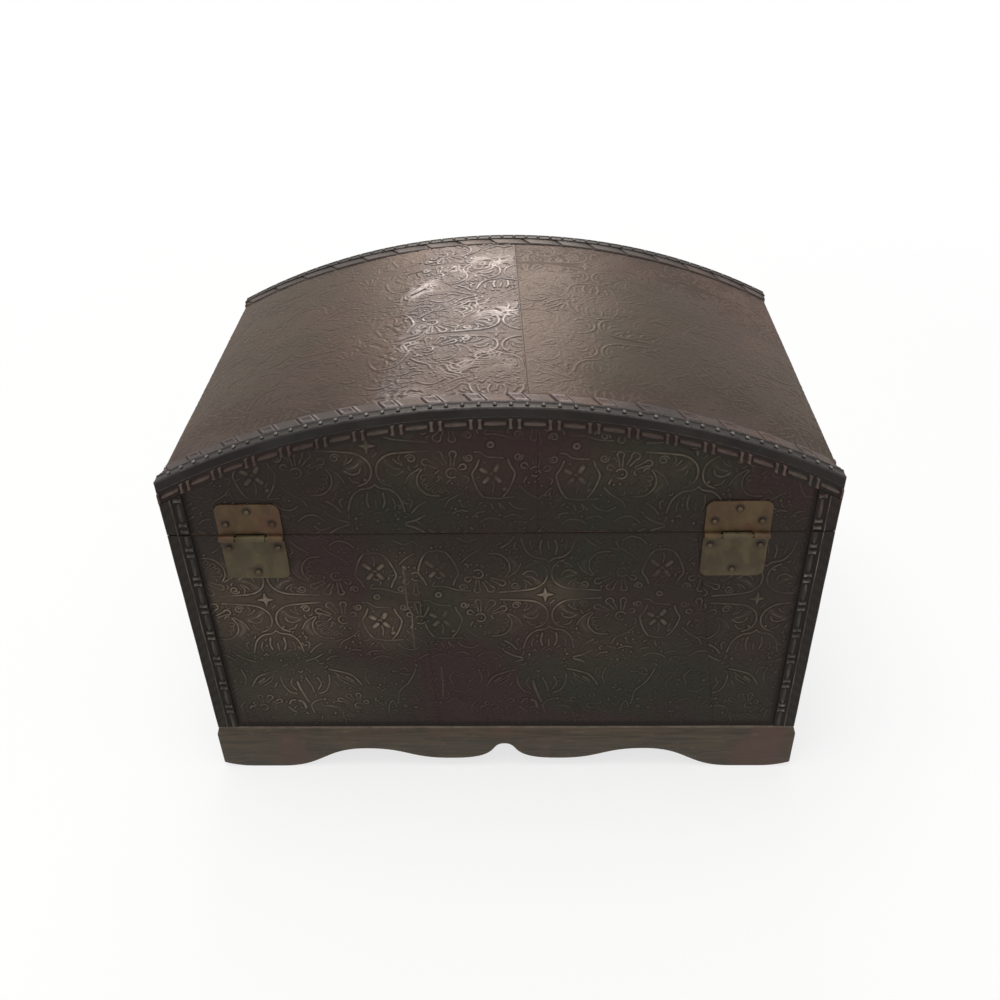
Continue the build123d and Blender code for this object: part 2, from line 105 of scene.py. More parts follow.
def addCamera():
    yaw, pitch, roll = (math.radians(cameraSetup[key]) for key in ("yaw", "pitch", "roll"))
    ahead = Vector((math.sin(yaw) * math.cos(pitch), -math.cos(yaw) * math.cos(pitch), -math.sin(pitch)))
    right = ahead.cross(Vector((0, 0, 1))).normalized()
    up = right.cross(ahead)
    tiltRight = right * math.cos(roll) + up * math.sin(roll)
    tiltUp = up * math.cos(roll) - right * math.sin(roll)
    data = bpy.data.cameras.new("camera")
    data.lens = cameraSetup["lens"]
    data.sensor_width = 36
    data.clip_start = 0.01
    data.clip_end = 60
    camera = addObject("camera", data)
    turn = Matrix((tiltRight, tiltUp, -ahead)).transposed().to_4x4()
    camera.matrix_world = Matrix.Translation(Vector(cameraSetup["place"])) @ turn
    bpy.context.scene.camera = camera


lamps = {
    # name: (place, aims at, width, height, watts, colour)
    "ceilingLamp": ((0.25, 0.15, 1.9), (0, 0, 0.1), 1.3, 1.3, 20, (1.0, 0.985, 0.96)),
    "windowLamp": ((0.12, -2.3, 1.25), (0.02, 0, 0.28), 1.1, 0.9, 17, (1.0, 0.99, 0.97)),
    "fillLamp": ((-0.6, 2.0, 1.2), (0, 0, 0.15), 1.6, 1.2, 10, (0.98, 0.99, 1.0)),
}


def addLamps():
    for name, (place, aim, width, height, power, colour) in lamps.items():
        data = bpy.data.lights.new(name, "AREA")
        data.shape = "RECTANGLE"
        data.size = width
        data.size_y = height
        data.energy = power
        data.color = colour
        turn = (Vector(aim) - Vector(place)).to_track_quat("-Z", "Y").to_matrix().to_4x4()
        addObject(name, data).matrix_world = Matrix.Translation(Vector(place)) @ turn


# material helpers: a value is a number, a colour or the output of another node

def feed(socket, value):
    if isinstance(value, bpy.types.NodeSocket):
        socket.id_data.links.new(value, socket)
    else:
        socket.default_value = (*value, 1) if socket.type == "RGBA" else value


def place(tree, kind, sockets=(), **settings):
    node = tree.nodes.new(kind)
    for key, value in settings.items():
        setattr(node, key, value)
    for key, value in dict(sockets).items():
        feed(node.inputs[key], value)
    return node


def startMaterial(name):
    material = bpy.data.materials.new(name)
    material.use_nodes = True
    return material, material.node_tree, material.node_tree.nodes["Principled BSDF"]


def objectPoint(tree, scale=(1, 1, 1), offset=(0, 0, 0)):
    point = place(tree, "ShaderNodeTexCoord").outputs["Object"]
    sockets = {"Vector": point, "Scale": scale, "Location": offset}
    return place(tree, "ShaderNodeMapping", sockets).outputs["Vector"]


def noise(vector, scale, detail=3.0, rough=0.55, distort=0.0):
    sockets = {"Vector": vector, "Scale": scale, "Detail": detail, "Roughness": rough, "Distortion": distort}
    return place(vector.id_data, "ShaderNodeTexNoise", sockets).outputs["Fac"]


def ramp(value, low, high, outLow=0.0, outHigh=1.0):
    sockets = {"Value": value, "From Min": low, "From Max": high, "To Min": outLow, "To Max": outHigh}
    node = place(value.id_data, "ShaderNodeMapRange", sockets, clamp=True, interpolation_type="SMOOTHSTEP")
    return node.outputs["Result"]


def maths(operation, a, b):
    # a is always the output of a node
    return place(a.id_data, "ShaderNodeMath", {0: a, 1: b}, operation=operation).outputs[0]


def plus(a, b):
    return maths("ADD", a, b)


def times(a, b):
    return maths("MULTIPLY", a, b)


def mix(factor, a, b):
    node = place(factor.id_data, "ShaderNodeMix", data_type="RGBA")
    for name, value in (("Factor", factor), ("A", a), ("B", b)):
        feed([s for s in node.inputs if s.name == name and s.enabled][0], value)
    return [s for s in node.outputs if s.enabled][0]


def layered(colour, look, layers):
    # each layer: the value that shows it, from, to, its strength, its colour in the look
    for value, low, high, strength, key in layers:
        colour = mix(ramp(value, low, high, 0, strength), colour, look[key])
    return colour


def attribute(tree, name):
    return place(tree, "ShaderNodeAttribute", attribute_name=name).outputs["Fac"]


def finishShader(shader, colour, rough, specular, height, strength, distance):
    # the last two are the strength of the bumps and their depth in metres
    bumps = {"Height": height, "Strength": strength, "Distance": distance}
    feed(shader.inputs["Base Color"], colour)
    feed(shader.inputs["Roughness"], rough)
    feed(shader.inputs["Specular IOR Level"], specular)
    feed(shader.inputs["Normal"], place(height.id_data, "ShaderNodeBump", bumps).outputs["Normal"])


# tin finishes: dark patina in the hollows, worn ridges, drifting stains, and bright colours for rubbed tin
# and for the dome's painted reflection

tinFinishes = {
    "tinDark": {
        "hollow": (0.007, 0.0052, 0.0044), "flat": (0.0175, 0.013, 0.0106), "ridge": (0.113, 0.088, 0.07),
        "stainA": (0.025, 0.012, 0.0125), "stainB": (0.014, 0.0165, 0.011), "stainSize": 11.0,
        "bright": (0.046, 0.035, 0.025), "brightRidge": (0.17, 0.135, 0.096),
        "metal": 0.25, "rough": 0.46, "specular": 0.22,
    },
    "tinTop": {
        "hollow": (0.021, 0.0145, 0.012), "flat": (0.042, 0.0268, 0.0212), "ridge": (0.08, 0.057, 0.047),
        "stainA": (0.056, 0.031, 0.024), "stainB": (0.032, 0.0262, 0.018), "stainSize": 9.0,
        "bright": (0.062, 0.0515, 0.052), "brightRidge": (0.285, 0.264, 0.262),
        "metal": 0.62, "rough": 0.4, "specular": 0.35,
    },
    "tinTrim": {
        "hollow": (0.0085, 0.0068, 0.006), "flat": (0.017, 0.0114, 0.0096), "ridge": (0.096, 0.066, 0.056),
        "stainA": (0.04, 0.022, 0.02), "stainB": (0.025, 0.024, 0.019), "stainSize": 16.0,
        "metal": 0.25, "rough": 0.46, "specular": 0.28,
    },
    "tinStrip": {
        "hollow": (0.0052, 0.0048, 0.0042), "flat": (0.0215, 0.0182, 0.0158), "ridge": (0.15, 0.13, 0.112),
        "stainA": (0.036, 0.0205, 0.0185), "stainB": (0.0205, 0.0215, 0.016), "stainSize": 12.0,
        "metal": 0.3, "rough": 0.42, "specular": 0.28,
    },
    "tinRope": {
        "hollow": (0.016, 0.012, 0.011), "flat": (0.038, 0.032, 0.033), "ridge": (0.116, 0.099, 0.1),
        "stainA": (0.085, 0.055, 0.045), "stainB": (0.05, 0.044, 0.042), "stainSize": 14.0,
        "metal": 0.5, "rough": 0.44, "specular": 0.35,
    },
    "tinRim": {
        "hollow": (0.008, 0.0072, 0.007), "flat": (0.0075, 0.0067, 0.0068), "ridge": (0.052, 0.048, 0.049),
        "stainA": (0.02, 0.016, 0.0145), "stainB": (0.015, 0.0165, 0.0165), "stainSize": 20.0,
        "metal": 0.35, "rough": 0.44, "specular": 0.3,
    },
}


def makeTin(name):
    look = tinFinishes[name]
    material, tree, shader = startMaterial(name)
    point = objectPoint(tree)
    relief, wear, tint = (attribute(tree, key) for key in ("relief", "wear", "tint"))
    drift = noise(point, look["stainSize"], 4, 0.6, 0.4)
    driftTwo = noise(objectPoint(tree, offset=(3.1, 1.7, 5.3)), look["stainSize"] * 0.8, 4, 0.6, 0.4)
    grit = noise(point, 900, 5, 0.7)
    specks = noise(point, 240, 4, 0.65)
    tint = times(tint, 0.10)
    # the bright colours follow the attribute that holds wear and sheen: rubbed tin on the walls, a painted
    # reflection on the dome
    layers = [
        (plus(drift, tint), 0.44, 0.68, 1, "stainA"),
        (maths("SUBTRACT", driftTwo, tint), 0.46, 0.70, 1, "stainB"),
        (wear, 0.25, 1, 1, "bright"),
        (specks, 0.44, 0.72, 0.35, "hollow"),
    ]
    flat = layered(look["flat"], look, [layer for layer in layers if layer[-1] in look])
    ridge = mix(wear, look["ridge"], look["brightRidge"]) if "bright" in look else look["ridge"]
    colour = mix(ramp(relief, 0.02, 0.30), look["hollow"], flat)
    # ridges take the ridge colour where rubbed; in the dome's bright zone this is a painted highlight on them
    rubAndGlint = times(ramp(relief, 0.42, 0.85), ramp(specks, 0.30, 0.62, 0.35, 1.0))
    rubAndGlint = times(rubAndGlint, ramp(wear, 0.0, 1.0, 0.25, 1.0))
    # hollows are duller than ridges
    rough = plus(ramp(grit, 0.3, 0.7, -0.06, 0.10), look["rough"])
    rough = maths("SUBTRACT", rough, times(rubAndGlint, 0.10))
    rough = plus(rough, ramp(relief, 0.12, 0.28, 0.16, 0.0))
    colour = mix(rubAndGlint, colour, ridge)
    finishShader(shader, colour, rough, look["specular"], plus(grit, times(specks, 1.5)), 0.35, 0.00012)
    feed(shader.inputs["Metallic"], look["metal"])
    feed(shader.inputs["Specular Tint"], (1.0, 0.86, 0.76))
    return material


woodFinishes = {
    # wornFrom and wornTo are the heights in metres between which an edge is rubbed pale
    "plinthWood": {
        "dark": (0.027, 0.021, 0.012), "mid": (0.067, 0.05, 0.031), "light": (0.12, 0.098, 0.072),
        "red": (0.068, 0.036, 0.026), "rough": 0.6, "wornFrom": 0.0388, "wornTo": 0.04,
    },
    "boxWood": {
        "dark": (0.036, 0.022, 0.013), "mid": (0.088, 0.053, 0.031), "light": (0.15, 0.1, 0.062),
        "red": (0.08, 0.04, 0.024), "rough": 0.68, "wornFrom": 9.0, "wornTo": 9.1,
    },
}


def makeWood(name, finish, along):
    look = woodFinishes[finish]
    material, tree, shader = startMaterial(name)
    grain = noise(objectPoint(tree, scale=along), 6, 6, 0.65, 0.8)
    pores = noise(objectPoint(tree, scale=(along[0] * 2, along[1] * 4, along[2] * 4)), 5, 3, 0.6)
    patch = noise(objectPoint(tree), 14, 4, 0.6, 0.5)
    chips = noise(objectPoint(tree, scale=(0.5, 1, 1)), 160, 4, 0.65)
    height = place(tree, "ShaderNodeSeparateXYZ", {"Vector": objectPoint(tree)}).outputs["Z"]
    edge = times(ramp(height, look["wornFrom"] - 0.0012, look["wornFrom"]),
                 ramp(height, look["wornFrom"], look["wornTo"], 1.0, 0.25))
    colour = layered(look["dark"], look, [
        (grain, 0.36, 0.64, 1, "mid"),
        (patch, 0.48, 0.62, 0.85, "red"),
        (pores, 0.50, 0.72, 0.40, "dark"),
        (chips, 0.60, 0.72, 0.35, "light"),
    ])
    colour = mix(times(edge, ramp(chips, 0.32, 0.60, 0.15, 0.8)), colour, look["light"])
    rough = ramp(grain, 0.3, 0.7, look["rough"] - 0.1, look["rough"] + 0.08)
    finishShader(shader, colour, rough, 0.3, plus(plus(grain, pores), chips), 0.4, 0.0003)
    return material


brassLooks = {
    "oldBrass": {
        "base": (0.044, 0.033, 0.0145), "bright": (0.076, 0.061, 0.03),
        "rust": (0.046, 0.026, 0.015), "dirt": (0.014, 0.011, 0.008), "rough": 0.5, "metal": 0.4,
    },
    "rustBrass": {
        "base": (0.054, 0.031, 0.013), "bright": (0.086, 0.056, 0.025),
        "rust": (0.074, 0.033, 0.018), "dirt": (0.014, 0.01, 0.007), "rough": 0.54, "metal": 0.4,
    },
    "darkSteel": {
        "base": (0.04, 0.036, 0.03), "bright": (0.11, 0.104, 0.092),
        "rust": (0.036, 0.022, 0.015), "dirt": (0.012, 0.01, 0.009), "rough": 0.46, "metal": 0.5,
    },
    "dullNail": {
        "base": (0.07, 0.049, 0.026), "bright": (0.116, 0.088, 0.052),
        "rust": (0.058, 0.029, 0.015), "dirt": (0.018, 0.011, 0.007), "rough": 0.54, "metal": 0.8,
    },
    "nailSteel": {
        "base": (0.062, 0.058, 0.052), "bright": (0.16, 0.152, 0.142),
        "rust": (0.05, 0.034, 0.024), "dirt": (0.024, 0.02, 0.018), "rough": 0.38, "metal": 0.7,
    },
}
nailRing = {"inner": 0.0018, "outer": 0.004, "rust": 0.0064, "lift": 0.0009}


def makeBrass(name, finish, nailsAt=()):
    # nailsAt: x and z in mm of nails whose dirt has crept over the plate
    look = brassLooks[finish]
    material, tree, shader = startMaterial(name)
    point = objectPoint(tree)
    blot = noise(point, 60, 4, 0.6, 0.6)
    speck = noise(point, 420, 5, 0.7)
    smear = noise(objectPoint(tree, scale=(1, 1, 0.4)), 130, 4, 0.6)
    colour = layered(look["base"], look, [
        (smear, 0.35, 0.68, 1, "bright"),
        (blot, 0.50, 0.68, 0.85, "rust"),
        (speck, 0.56, 0.78, 0.6, "dirt"),
    ])
    for x, z in nailsAt:
        level = place(tree, "ShaderNodeVectorMath", {0: point, 1: (1, 0, 1)}, operation="MULTIPLY").outputs[0]
        nail = (x * mm, 0, z * mm + nailRing["lift"])
        away = place(tree, "ShaderNodeVectorMath", {0: level, 1: nail}, operation="DISTANCE").outputs["Value"]
        halo = ramp(away, nailRing["outer"], nailRing["rust"], 0.8, 0.0)
        colour = mix(times(halo, ramp(blot, 0.40, 0.60)), colour, look["rust"])
        ring = ramp(away, nailRing["inner"], nailRing["outer"], 0.9, 0.0)
        colour = mix(times(ring, ramp(speck, 0.3, 0.55, 0.5, 1)), colour, look["dirt"])
    rough = ramp(smear, 0.3, 0.7, look["rough"] - 0.08, look["rough"] + 0.12)
    finishShader(shader, colour, rough, 0.35, plus(speck, blot), 0.3, 0.00015)
    feed(shader.inputs["Metallic"], look["metal"])
    return material


materials = {name: makeTin(name) for name in tinFinishes}
for finish in woodFinishes:
    # the grain runs along the front and back boards, and along the end boards
    materials[finish] = makeWood(finish, finish, (5, 60, 60))
    materials[finish + "End"] = makeWood(finish + "End", finish, (60, 5, 60))
materials.update({name: makeBrass(name, name) for name in brassLooks})
hingeMiddles = {"left": -142.0, "right": 149.0}
leafLooks = {
    # leaf: (finish, nails beside it and nail on it, as x from the hinge's middle and z)
    "upper": ("rustBrass", ((-14, 217.5), (14, 217.5), (0, 226.5))),
    "lower": ("oldBrass", ((-15, 200.0), (15, 200.0), (0, 181.0))),
}
hingeLeaves = []
for leaf, (finish, places) in leafLooks.items():
    for side, middle in hingeMiddles.items():
        node = f"{side}_hinge_{leaf}_leaf"
        hingeLeaves.append(node)
        materials[node] = makeBrass(node, finish, [(middle + x, z) for x, z in places])
print("materials ready,", len(materials))

# embossing: ridges are drawn as strokes on a small height field, which repeats over each sheet.
# Strokes are rows of half width, height from 0 to 1, then x and y of each point, in mm from the star.
# Dots are rows of x, y, radius and height, curls of centre, outer radius, start angle and turns.

once = ((1, 1),)
flowerTile = {
    # from one axis between brackets to the next, and from leaf row to leaf row
    "left": -69.2, "width": 138.4, "top": -55.0, "height": 110.0, "cell": 0.2,
    "ways": [(1, 1), (-1, 1), (1, -1), (-1, -1)],
    "medallion": (44.8, 18.0), "medallionScale": 1.0,
    "star": -3.0,         # the star stands a little beside the axis
    "crumbs": 3400,       # small pressed strokes between the drawn ones
    "seed": 11, "plainBand": 5.0,
    "curls": [(21.5, 8.2, 3.1, 200, 1.3), (54.8, 7.4, 2.8, 200, -1.3)],
}
flowerTile["mirrored"] = [
    (0.5, 1, 31.8, 3, 19, 4, 11, 5, 6, 7.5, 2.6, 11.5, 1.4, 16.5, 2.2, 21.5, 5, 25.5, 9.4, 27.7),
    (0.3, 0.6, 4.8, 13, 4.4, 18, 6.6, 22.4), (2, 0.5, 7, 10.5, 9.5, 13.5, 13, 15.5, 17, 17),
    (0.5, 0.9, 7.4, 15.5, 9, 18.6, 13, 19.6, 16.6, 17.2), (0.42, 0.85, 8.2, 12, 11, 14.6, 14.8, 15.6),
    (0.42, 0.85, 11.5, 8.5, 13.6, 11, 16.8, 12.8), (0.38, 0.7, 15.6, 5.6, 14.6, 8.6, 16.4, 11.6),
    (0.42, 0.8, 9, 25.6, 12.4, 24.6, 14.4, 21.6), (0.4, 0.85, 26.4, 15, 20.5, 19.5, 17.4, 25.5),
    (1.9, 0.45, 22, 19.5, 20.8, 25, 24.2, 30.2),
    (0.42, 0.95, 27.5, 15.4, 24.8, 20.5, 24.8, 26.5, 28, 31.5, 31.5, 33.6, 37.5, 34),
    (0.5, 1, 60.8, 9, 59.3, 13.5, 56.8, 18.5, 57.8, 24, 60.3, 30.5, 63.3, 35),
    (0.42, 0.8, 54, 27.5, 50, 32, 46, 35, 42.5, 37.5, 40.3, 42.5),
    (0.5, 1, 0, 26.5, 3, 29, 9, 30.5, 14, 36, 16.6, 45.5), (0.52, 0.95, 4.4, 32.6, 5.2, 38.5, 4, 43.2),
    (0.38, 0.8, 10, 36.5, 11.2, 41, 10.6, 44), (0.42, 0.9, 18.8, 36.5, 21, 38.2, 20, 42.6),
    (0.5, 1, 20.8, 46.5, 24.6, 41.6, 29, 38.4), (0.4, 0.8, 28.6, 42.8, 31.8, 40.6),
    (0.56, 1, 16.8, 54.2, 22.8, 52, 28.8, 48), (0.36, 0.7, 36.8, 37.5, 42.8, 35),
]
flowerTile["mirroredDots"] = [
    (5.3, 23.4, 1.2, 1), (12.4, 51.3, 1.2, 1), (18.2, 12.4, 0.7, 0.6), (8.8, 46.4, 0.6, 0.7),
    (44.8, 25.2, 0.9, 0.9), (48.4, 25.6, 0.9, 0.9),
]
flowerTile["single"] = [
    (0.4, 0.85, 58, 3.5, 62, 4.2, 66, 7.2, 75, 8), (0.4, 0.85, -50, -4.4, -58, -5, -66, -7.6, -74, -8),
    (0.4, 0.8, 63.3, 35, 68.8, 36, 72.8, 36.3, 81.8, 35.5), (0.4, 0.8, -63.3, -35, -68, -36.4, -75, -35.6),
    (0.36, 0.7, -34, 3.4, -44, 2.4, -52, 3), (0.42, 0.8, -0.2, 37.5, 0.3, 43.5),
    (0.42, 0.8, 0.4, -36.6, -0.4, -43),
    # the flower between two brackets: four curved petals, a bud and a stem, once above and once below
    (1.25, 0.95, 62.2, 15.8, 64.6, 17.4), (1.3, 0.95, 71.6, 13.4, 70.2, 16.4),
    (1.25, 0.95, 63.9, 24.4, 66, 22), (1.25, 0.95, 73, 24, 70.8, 21.6),
    (0.4, 0.9, 66.9, 18.9, 68.2, 18.2, 69, 19.4), (0.42, 0.8, 68.7, 23.5, 69.4, 27.5, 68.8, 32),
    (1.25, 0.9, 62.8, -27.2, 65.8, -24.2), (1.2, 0.9, 74, -26.6, 71.4, -24),
    (1.25, 0.9, 64.2, -16.2, 66.6, -19.2), (1.2, 0.9, 72.6, -16.4, 70.8, -19.2),
    (0.4, 0.9, 67.6, -21.4, 68.8, -22.4, 69.8, -21.2), (0.42, 0.8, 68.8, -26.4, 69.6, -30, 69, -33.6),
    # leaves and stems in the upper and lower rows
    (0.42, 0.9, 45, 46.6, 49.6, 44.6, 54, 45.4), (0.42, 0.85, 57, 49.6, 60.2, 46.4, 64.6, 45.6),
    (0.42, 0.8, 61, 53.4, 66, 50.6, 72, 51.2, 76, 54), (0.46, 0.85, 31, 53.6, 34, 50.8, 38.6, 50),
    (0.46, 0.9, -31, 53, -36, 48.6, -42, 48.8, -47, 52.6),
    (0.42, 0.9, -46, 41.6, -50.6, 44.4, -56, 43.2, -60, 39.4), (0.42, 0.8, -52, 50.6, -57, 48.2, -63, 50.2),
    (0.42, 0.9, 44, -42.6, 49, -45.8, 55, -44.2, 58.6, -40.6), (0.45, 0.9, 30, -51, 36, -48.4, 42, -51.6),
    (0.42, 0.8, -28, -52.6, -34, -50.4, -38, -53.4), (0.42, 0.9, -44, -46, -50, -43.4, -55.6, -46.2),
    (0.42, 0.8, 67.8, 39.6, 69.4, 44), (0.42, 0.8, 72.6, 39.6, 76.2, 43.8),
    (0.42, 0.8, -66, 39, -64.6, 43.6), (0.36, 0.7, -2, 48.4, 0.6, 46.6, 3, 48),
    (0.5, 0.7, 44, 22.6, 42, 24.6), (0.4, 0.8, 51.6, 20, 54.6, 21.6, 53.6, 25),
]
flowerTile["singleDots"] = [
    (75.8, 29.6, 1.8, 0.9), (62, -21.8, 0.7, 0.8), (76, -31, 0.7, 0.8), (63.8, 30, 0.7, 0.8),
    (0.3, 53, 1.1, 1), (51, 32.5, 1, 0.9), (49.3, 37.5, 1.1, 1), (46.8, 43.5, 1, 1), (48.3, 48, 0.9, 0.9),
    (59.5, 49, 1, 0.9), (54, 38.4, 1, 0.9), (-50.6, 37.4, 0.9, 0.9), (-55.4, 33, 0.8, 0.9),
    (48.8, -37.4, 1, 0.9), (54.6, -34.2, 0.8, 0.8), (61, -40, 0.9, 0.8), (-49.6, -37, 0.9, 0.9),
    (-58.4, -38.6, 0.9, 0.8), (38, 53, 0.8, 0.7), (-40, 45, 0.7, 0.7), (40.4, 21, 0.5, 0.8),
    (50.2, 29, 0.5, 0.8), (-47, 29.6, 0.6, 0.8), (41, -24.6, 0.6, 0.8),
]

# the lower strip on the back has its own drawing, from the palm's axis and down from its top line
palmTile = {
    "left": -78.0, "width": 156.0, "top": -11.0, "height": 68.0, "cell": 0.2,
    "ways": [(1, 1), (-1, 1)],
    "medallion": (33.0, 34.0), "medallionScale": 0.8,
    "crumbs": 1300, "seed": 23, "plainBand": 0.0,
    "curls": [], "mirroredDots": [],
}
palmTile["mirrored"] = [
    (0.48, 1, 17, -1.2, 25.4, 1.6, 31.6, 4.6, 35.2, 9.6, 37.4, 14), (0.4, 0.8, 20.4, 2, 26.4, 8, 32.4, 12),
    (0.75, 0.8, 27.8, 6.4, 32, 10), (0.4, 0.8, 22, 4, 22.8, 8, 28.6, 13), (0.45, 0.8, 19.6, 10, 21.6, 14),
    (0.48, 1, 16.6, 4, 15.8, 12, 12.4, 19, 7.6, 21.4), (0.46, 0.9, 8.4, 6, 10.2, 12, 7.4, 17.6),
    (0.44, 0.9, 42.4, -2, 40.4, 6, 42.4, 13), (0.36, 0.7, 36.4, -2, 35.4, 4),
    (0.4, 0.7, 20.6, 44, 22.4, 48, 20.8, 53),
]
palmTile["single"] = [
    (0.8, 1, -5.6, 10, -4.6, 16, -1.8, 26, -0.6, 29.4), (0.44, 0.85, 0.4, 6, 3.4, 14, 4.4, 20),
    (0.36, 0.7, 3.4, -2.4, 4.4, 2), (0.36, 0.7, -6.4, -2.4, -6.8, 2),
    (0.52, 1, 1.4, 40, 0.4, 33, 3.4, 29, 8.4, 27), (0.9, 0.6, 9.4, 34, 13, 33.6, 17.4, 35),
    (0.52, 1, -14.6, 31, -12.6, 27.6, -9.6, 27), (0.8, 1, -7.6, 28, -4.8, 29.4, -3.6, 35),
    (0.7, 0.9, -15.6, 34, -13, 37.6, -11, 39), (0.46, 0.9, -25.6, 37, -23.6, 32),
    (0.46, 0.95, 74.4, -2, 72.4, 4, 68.4, 12, 62.4, 19, 60.4, 28, 59.4, 32),
    (0.42, 0.85, 52.4, 41, 53.4, 34, 56.4, 29, 58.4, 35), (0.42, 0.85, 64, -1, 67.4, -2.4, 69.4, 1),
    (0.42, 0.8, -48, 16, -53, 19.6, -60, 18), (0.42, 0.85, -58, -1, -62, 5, -60, 12),
    (0.42, 0.85, -66, 30, -60, 26, -55, 30, -57, 36), (0.42, 0.8, -70, 6, -74, 12, -71, 19),
    (0.42, 0.8, 44.6, 46, 46, 40, 49, 36.6), (0.42, 0.8, -45, 28, -49, 33.6, -48, 40),
]
palmTile["singleDots"] = [
    (10.4, 27, 1.4, 1), (-48.6, 9, 1.4, 1), (49.4, 14, 1.1, 1), (54.4, 15, 0.9, 0.9), (60.4, 13, 1, 0.9),
    (53.4, 7, 0.9, 0.9), (59.4, 1, 1, 0.9), (44.4, 13, 0.7, 0.8), (64.4, 27, 1.4, 1), (73.4, 28, 1.2, 1),
    (64.4, 34, 1.9, 0.9), (71.4, 35, 1.6, 1), (48.4, 2.6, 1.5, 0.8), (-53, 2, 1, 0.9), (-66, 13, 1.1, 0.9),
    (-63, 24, 0.9, 0.8), (-70, 30, 1.3, 0.9), (18, 41, 0.6, 0.7), (-39.6, 20.6, 0.7, 0.8),
]
# each finger of the medallion: its tip from the centre, radius of the tip, length of its legs
fingers = [
    (-15, -7.5, 2.1, 6), (-7.5, -12.2, 2.4, 5), (1, -13, 2, 6), (6.6, -4.4, 1.8, 1), (-16.5, 3, 1.6, 5),
    (-16, 6.8, 1.4, 4), (-13.8, 10.3, 1.6, 4), (-10.2, 12.6, 1.3, 3.5), (-6.2, 12.6, 1.1, 2.4),
]
medallionLine = 0.46
ridgeShape = {"widen": 1.4, "foot": 0.12, "round": 1.3, "gutterAt": 0.25, "gutterWidth": 0.40, "margin": 1.2}


def smoothPath(points, step=0.3):
    points = np.array(points, float).reshape(-1, 2)
    if len(points) == 2:
        count = max(2, int(np.linalg.norm(points[1] - points[0]) / step))
        return points[0] + np.linspace(0, 1, count)[:, None] * (points[1] - points[0])
    padded = np.vstack([2 * points[0] - points[1], points, 2 * points[-1] - points[-2]])
    out = []
    for a, b, c, d in zip(padded, padded[1:], padded[2:], padded[3:]):
        count = max(2, int(np.linalg.norm(c - b) / step))
        t = np.linspace(0, 1, count, endpoint=False)[:, None]
        cubic = (3 * b - a - 3 * c + d) * t ** 3
        out.append(0.5 * (2 * b + (c - a) * t + (2 * a - 5 * b + 4 * c - d) * t ** 2 + cubic))
    return np.vstack(out + [points[-1:]])


def drawRidge(canvas, path, width, height, ways=once):
    # a rounded ridge along the path, in each of its mirrored ways and on both sides of the canvas's ends
    left, right = canvas["left"], canvas["left"] + canvas["width"]
    for way in ways:
        for shift in (0, -canvas["width"], canvas["width"]):
            moved = np.asarray(path, float) * np.array(way) + np.array([shift, 0])
            if shift == 0 or (moved[:, 0].max() > left - 3 and moved[:, 0].min() < right + 3):
                drawOnce(canvas, moved, width, height)


def drawOnce(canvas, path, width, height):
    # the ridge has a chased groove on both sides of it
    cell, corner = canvas["cell"], (canvas["left"], canvas["top"])
    reach = ridgeShape["widen"] * width + ridgeShape["foot"]
    low = (path.min(0) - reach - ridgeShape["margin"] - corner) / cell
    high = (path.max(0) + reach + ridgeShape["margin"] - corner) / cell
    rows, columns = canvas["ridge"].shape
    i0, i1 = max(0, int(low[0])), min(columns, int(high[0]) + 2)
    j0, j1 = max(0, int(low[1])), min(rows, int(high[1]) + 2)
    if i0 >= i1 or j0 >= j1:
        return
    x = (np.arange(i0, i1) + 0.5) * cell + corner[0]
    y = (np.arange(j0, j1) + 0.5) * cell + corner[1]
    near = np.full((j1 - j0, i1 - i0), 1e9)
    for px, py in path:
        near = np.minimum(near, (x[None, :] - px) ** 2 + (y[:, None] - py) ** 2)
    near = np.sqrt(near)
    ridge = height * clip(1 - (near / reach) ** 2, 0, 1) ** ridgeShape["round"]
    gutter = height * exp(-((near - reach - ridgeShape["gutterAt"]) / ridgeShape["gutterWidth"]) ** 2)
    for key, field in (("ridge", ridge), ("gutter", gutter)):
        area = canvas[key][j0:j1, i0:i1]
        np.maximum(area, field, out=area)


def curlPath(x, y, radius, start, turns):
    t = np.linspace(0, 1, 60)
    angle = math.radians(start) + t * turns * 2 * math.pi
    r = radius * (1 - 0.72 * t)
    return np.stack([x + r * cos(angle), y + r * sin(angle)], 1)


def ringPath(x, y, radius, opening=0.0, towards=0.0):
    # a ring, left open by some degrees on the side that faces `towards`
    angle = np.radians(towards + np.linspace(opening / 2, 360 - opening / 2, 44))
    return np.stack([x + radius * cos(angle), y + radius * sin(angle)], 1)


def drawMedallion(canvas):
    # keyhole fingers round a small ringed boss
    centre, scale, ways = canvas["medallion"], canvas["medallionScale"], canvas["ways"]
    x, y = centre
    for dx, dy, radius, leg in fingers:
        tip = np.array([dx, dy]) * scale
        radius, leg = radius * scale, leg * scale
        inward = -tip / np.hypot(*tip)
        side = np.array([-inward[1], inward[0]])
        back = math.degrees(math.atan2(inward[1], inward[0]))
        thin = 1.0 if dy < 0 else 0.72
        loop = ringPath(x + tip[0], y + tip[1], radius, 90, back)
        drawRidge(canvas, loop, medallionLine * thin, thin, ways)
        for s in (-1, 1):
            start = tip + inward * radius * 0.7 + side * s * radius * 0.7
            end = tip + inward * (radius + leg) + side * s * max(0.5, radius * 0.4)
            shank = smoothPath([start + centre, end + centre])
            drawRidge(canvas, shank, medallionLine * 0.9 * thin, 0.8 * thin, ways)
    drawRidge(canvas, ringPath(x, y, 3.3 * scale, 80, 10), medallionLine, 0.9, ways)
    drawRidge(canvas, [(x - 0.6, y + 0.4)], 0.6, 0.9, ways)


starShape = {"wide": 5.4, "tall": 5.6, "thick": 1.5, "tip": 0.2, "dots": 24}


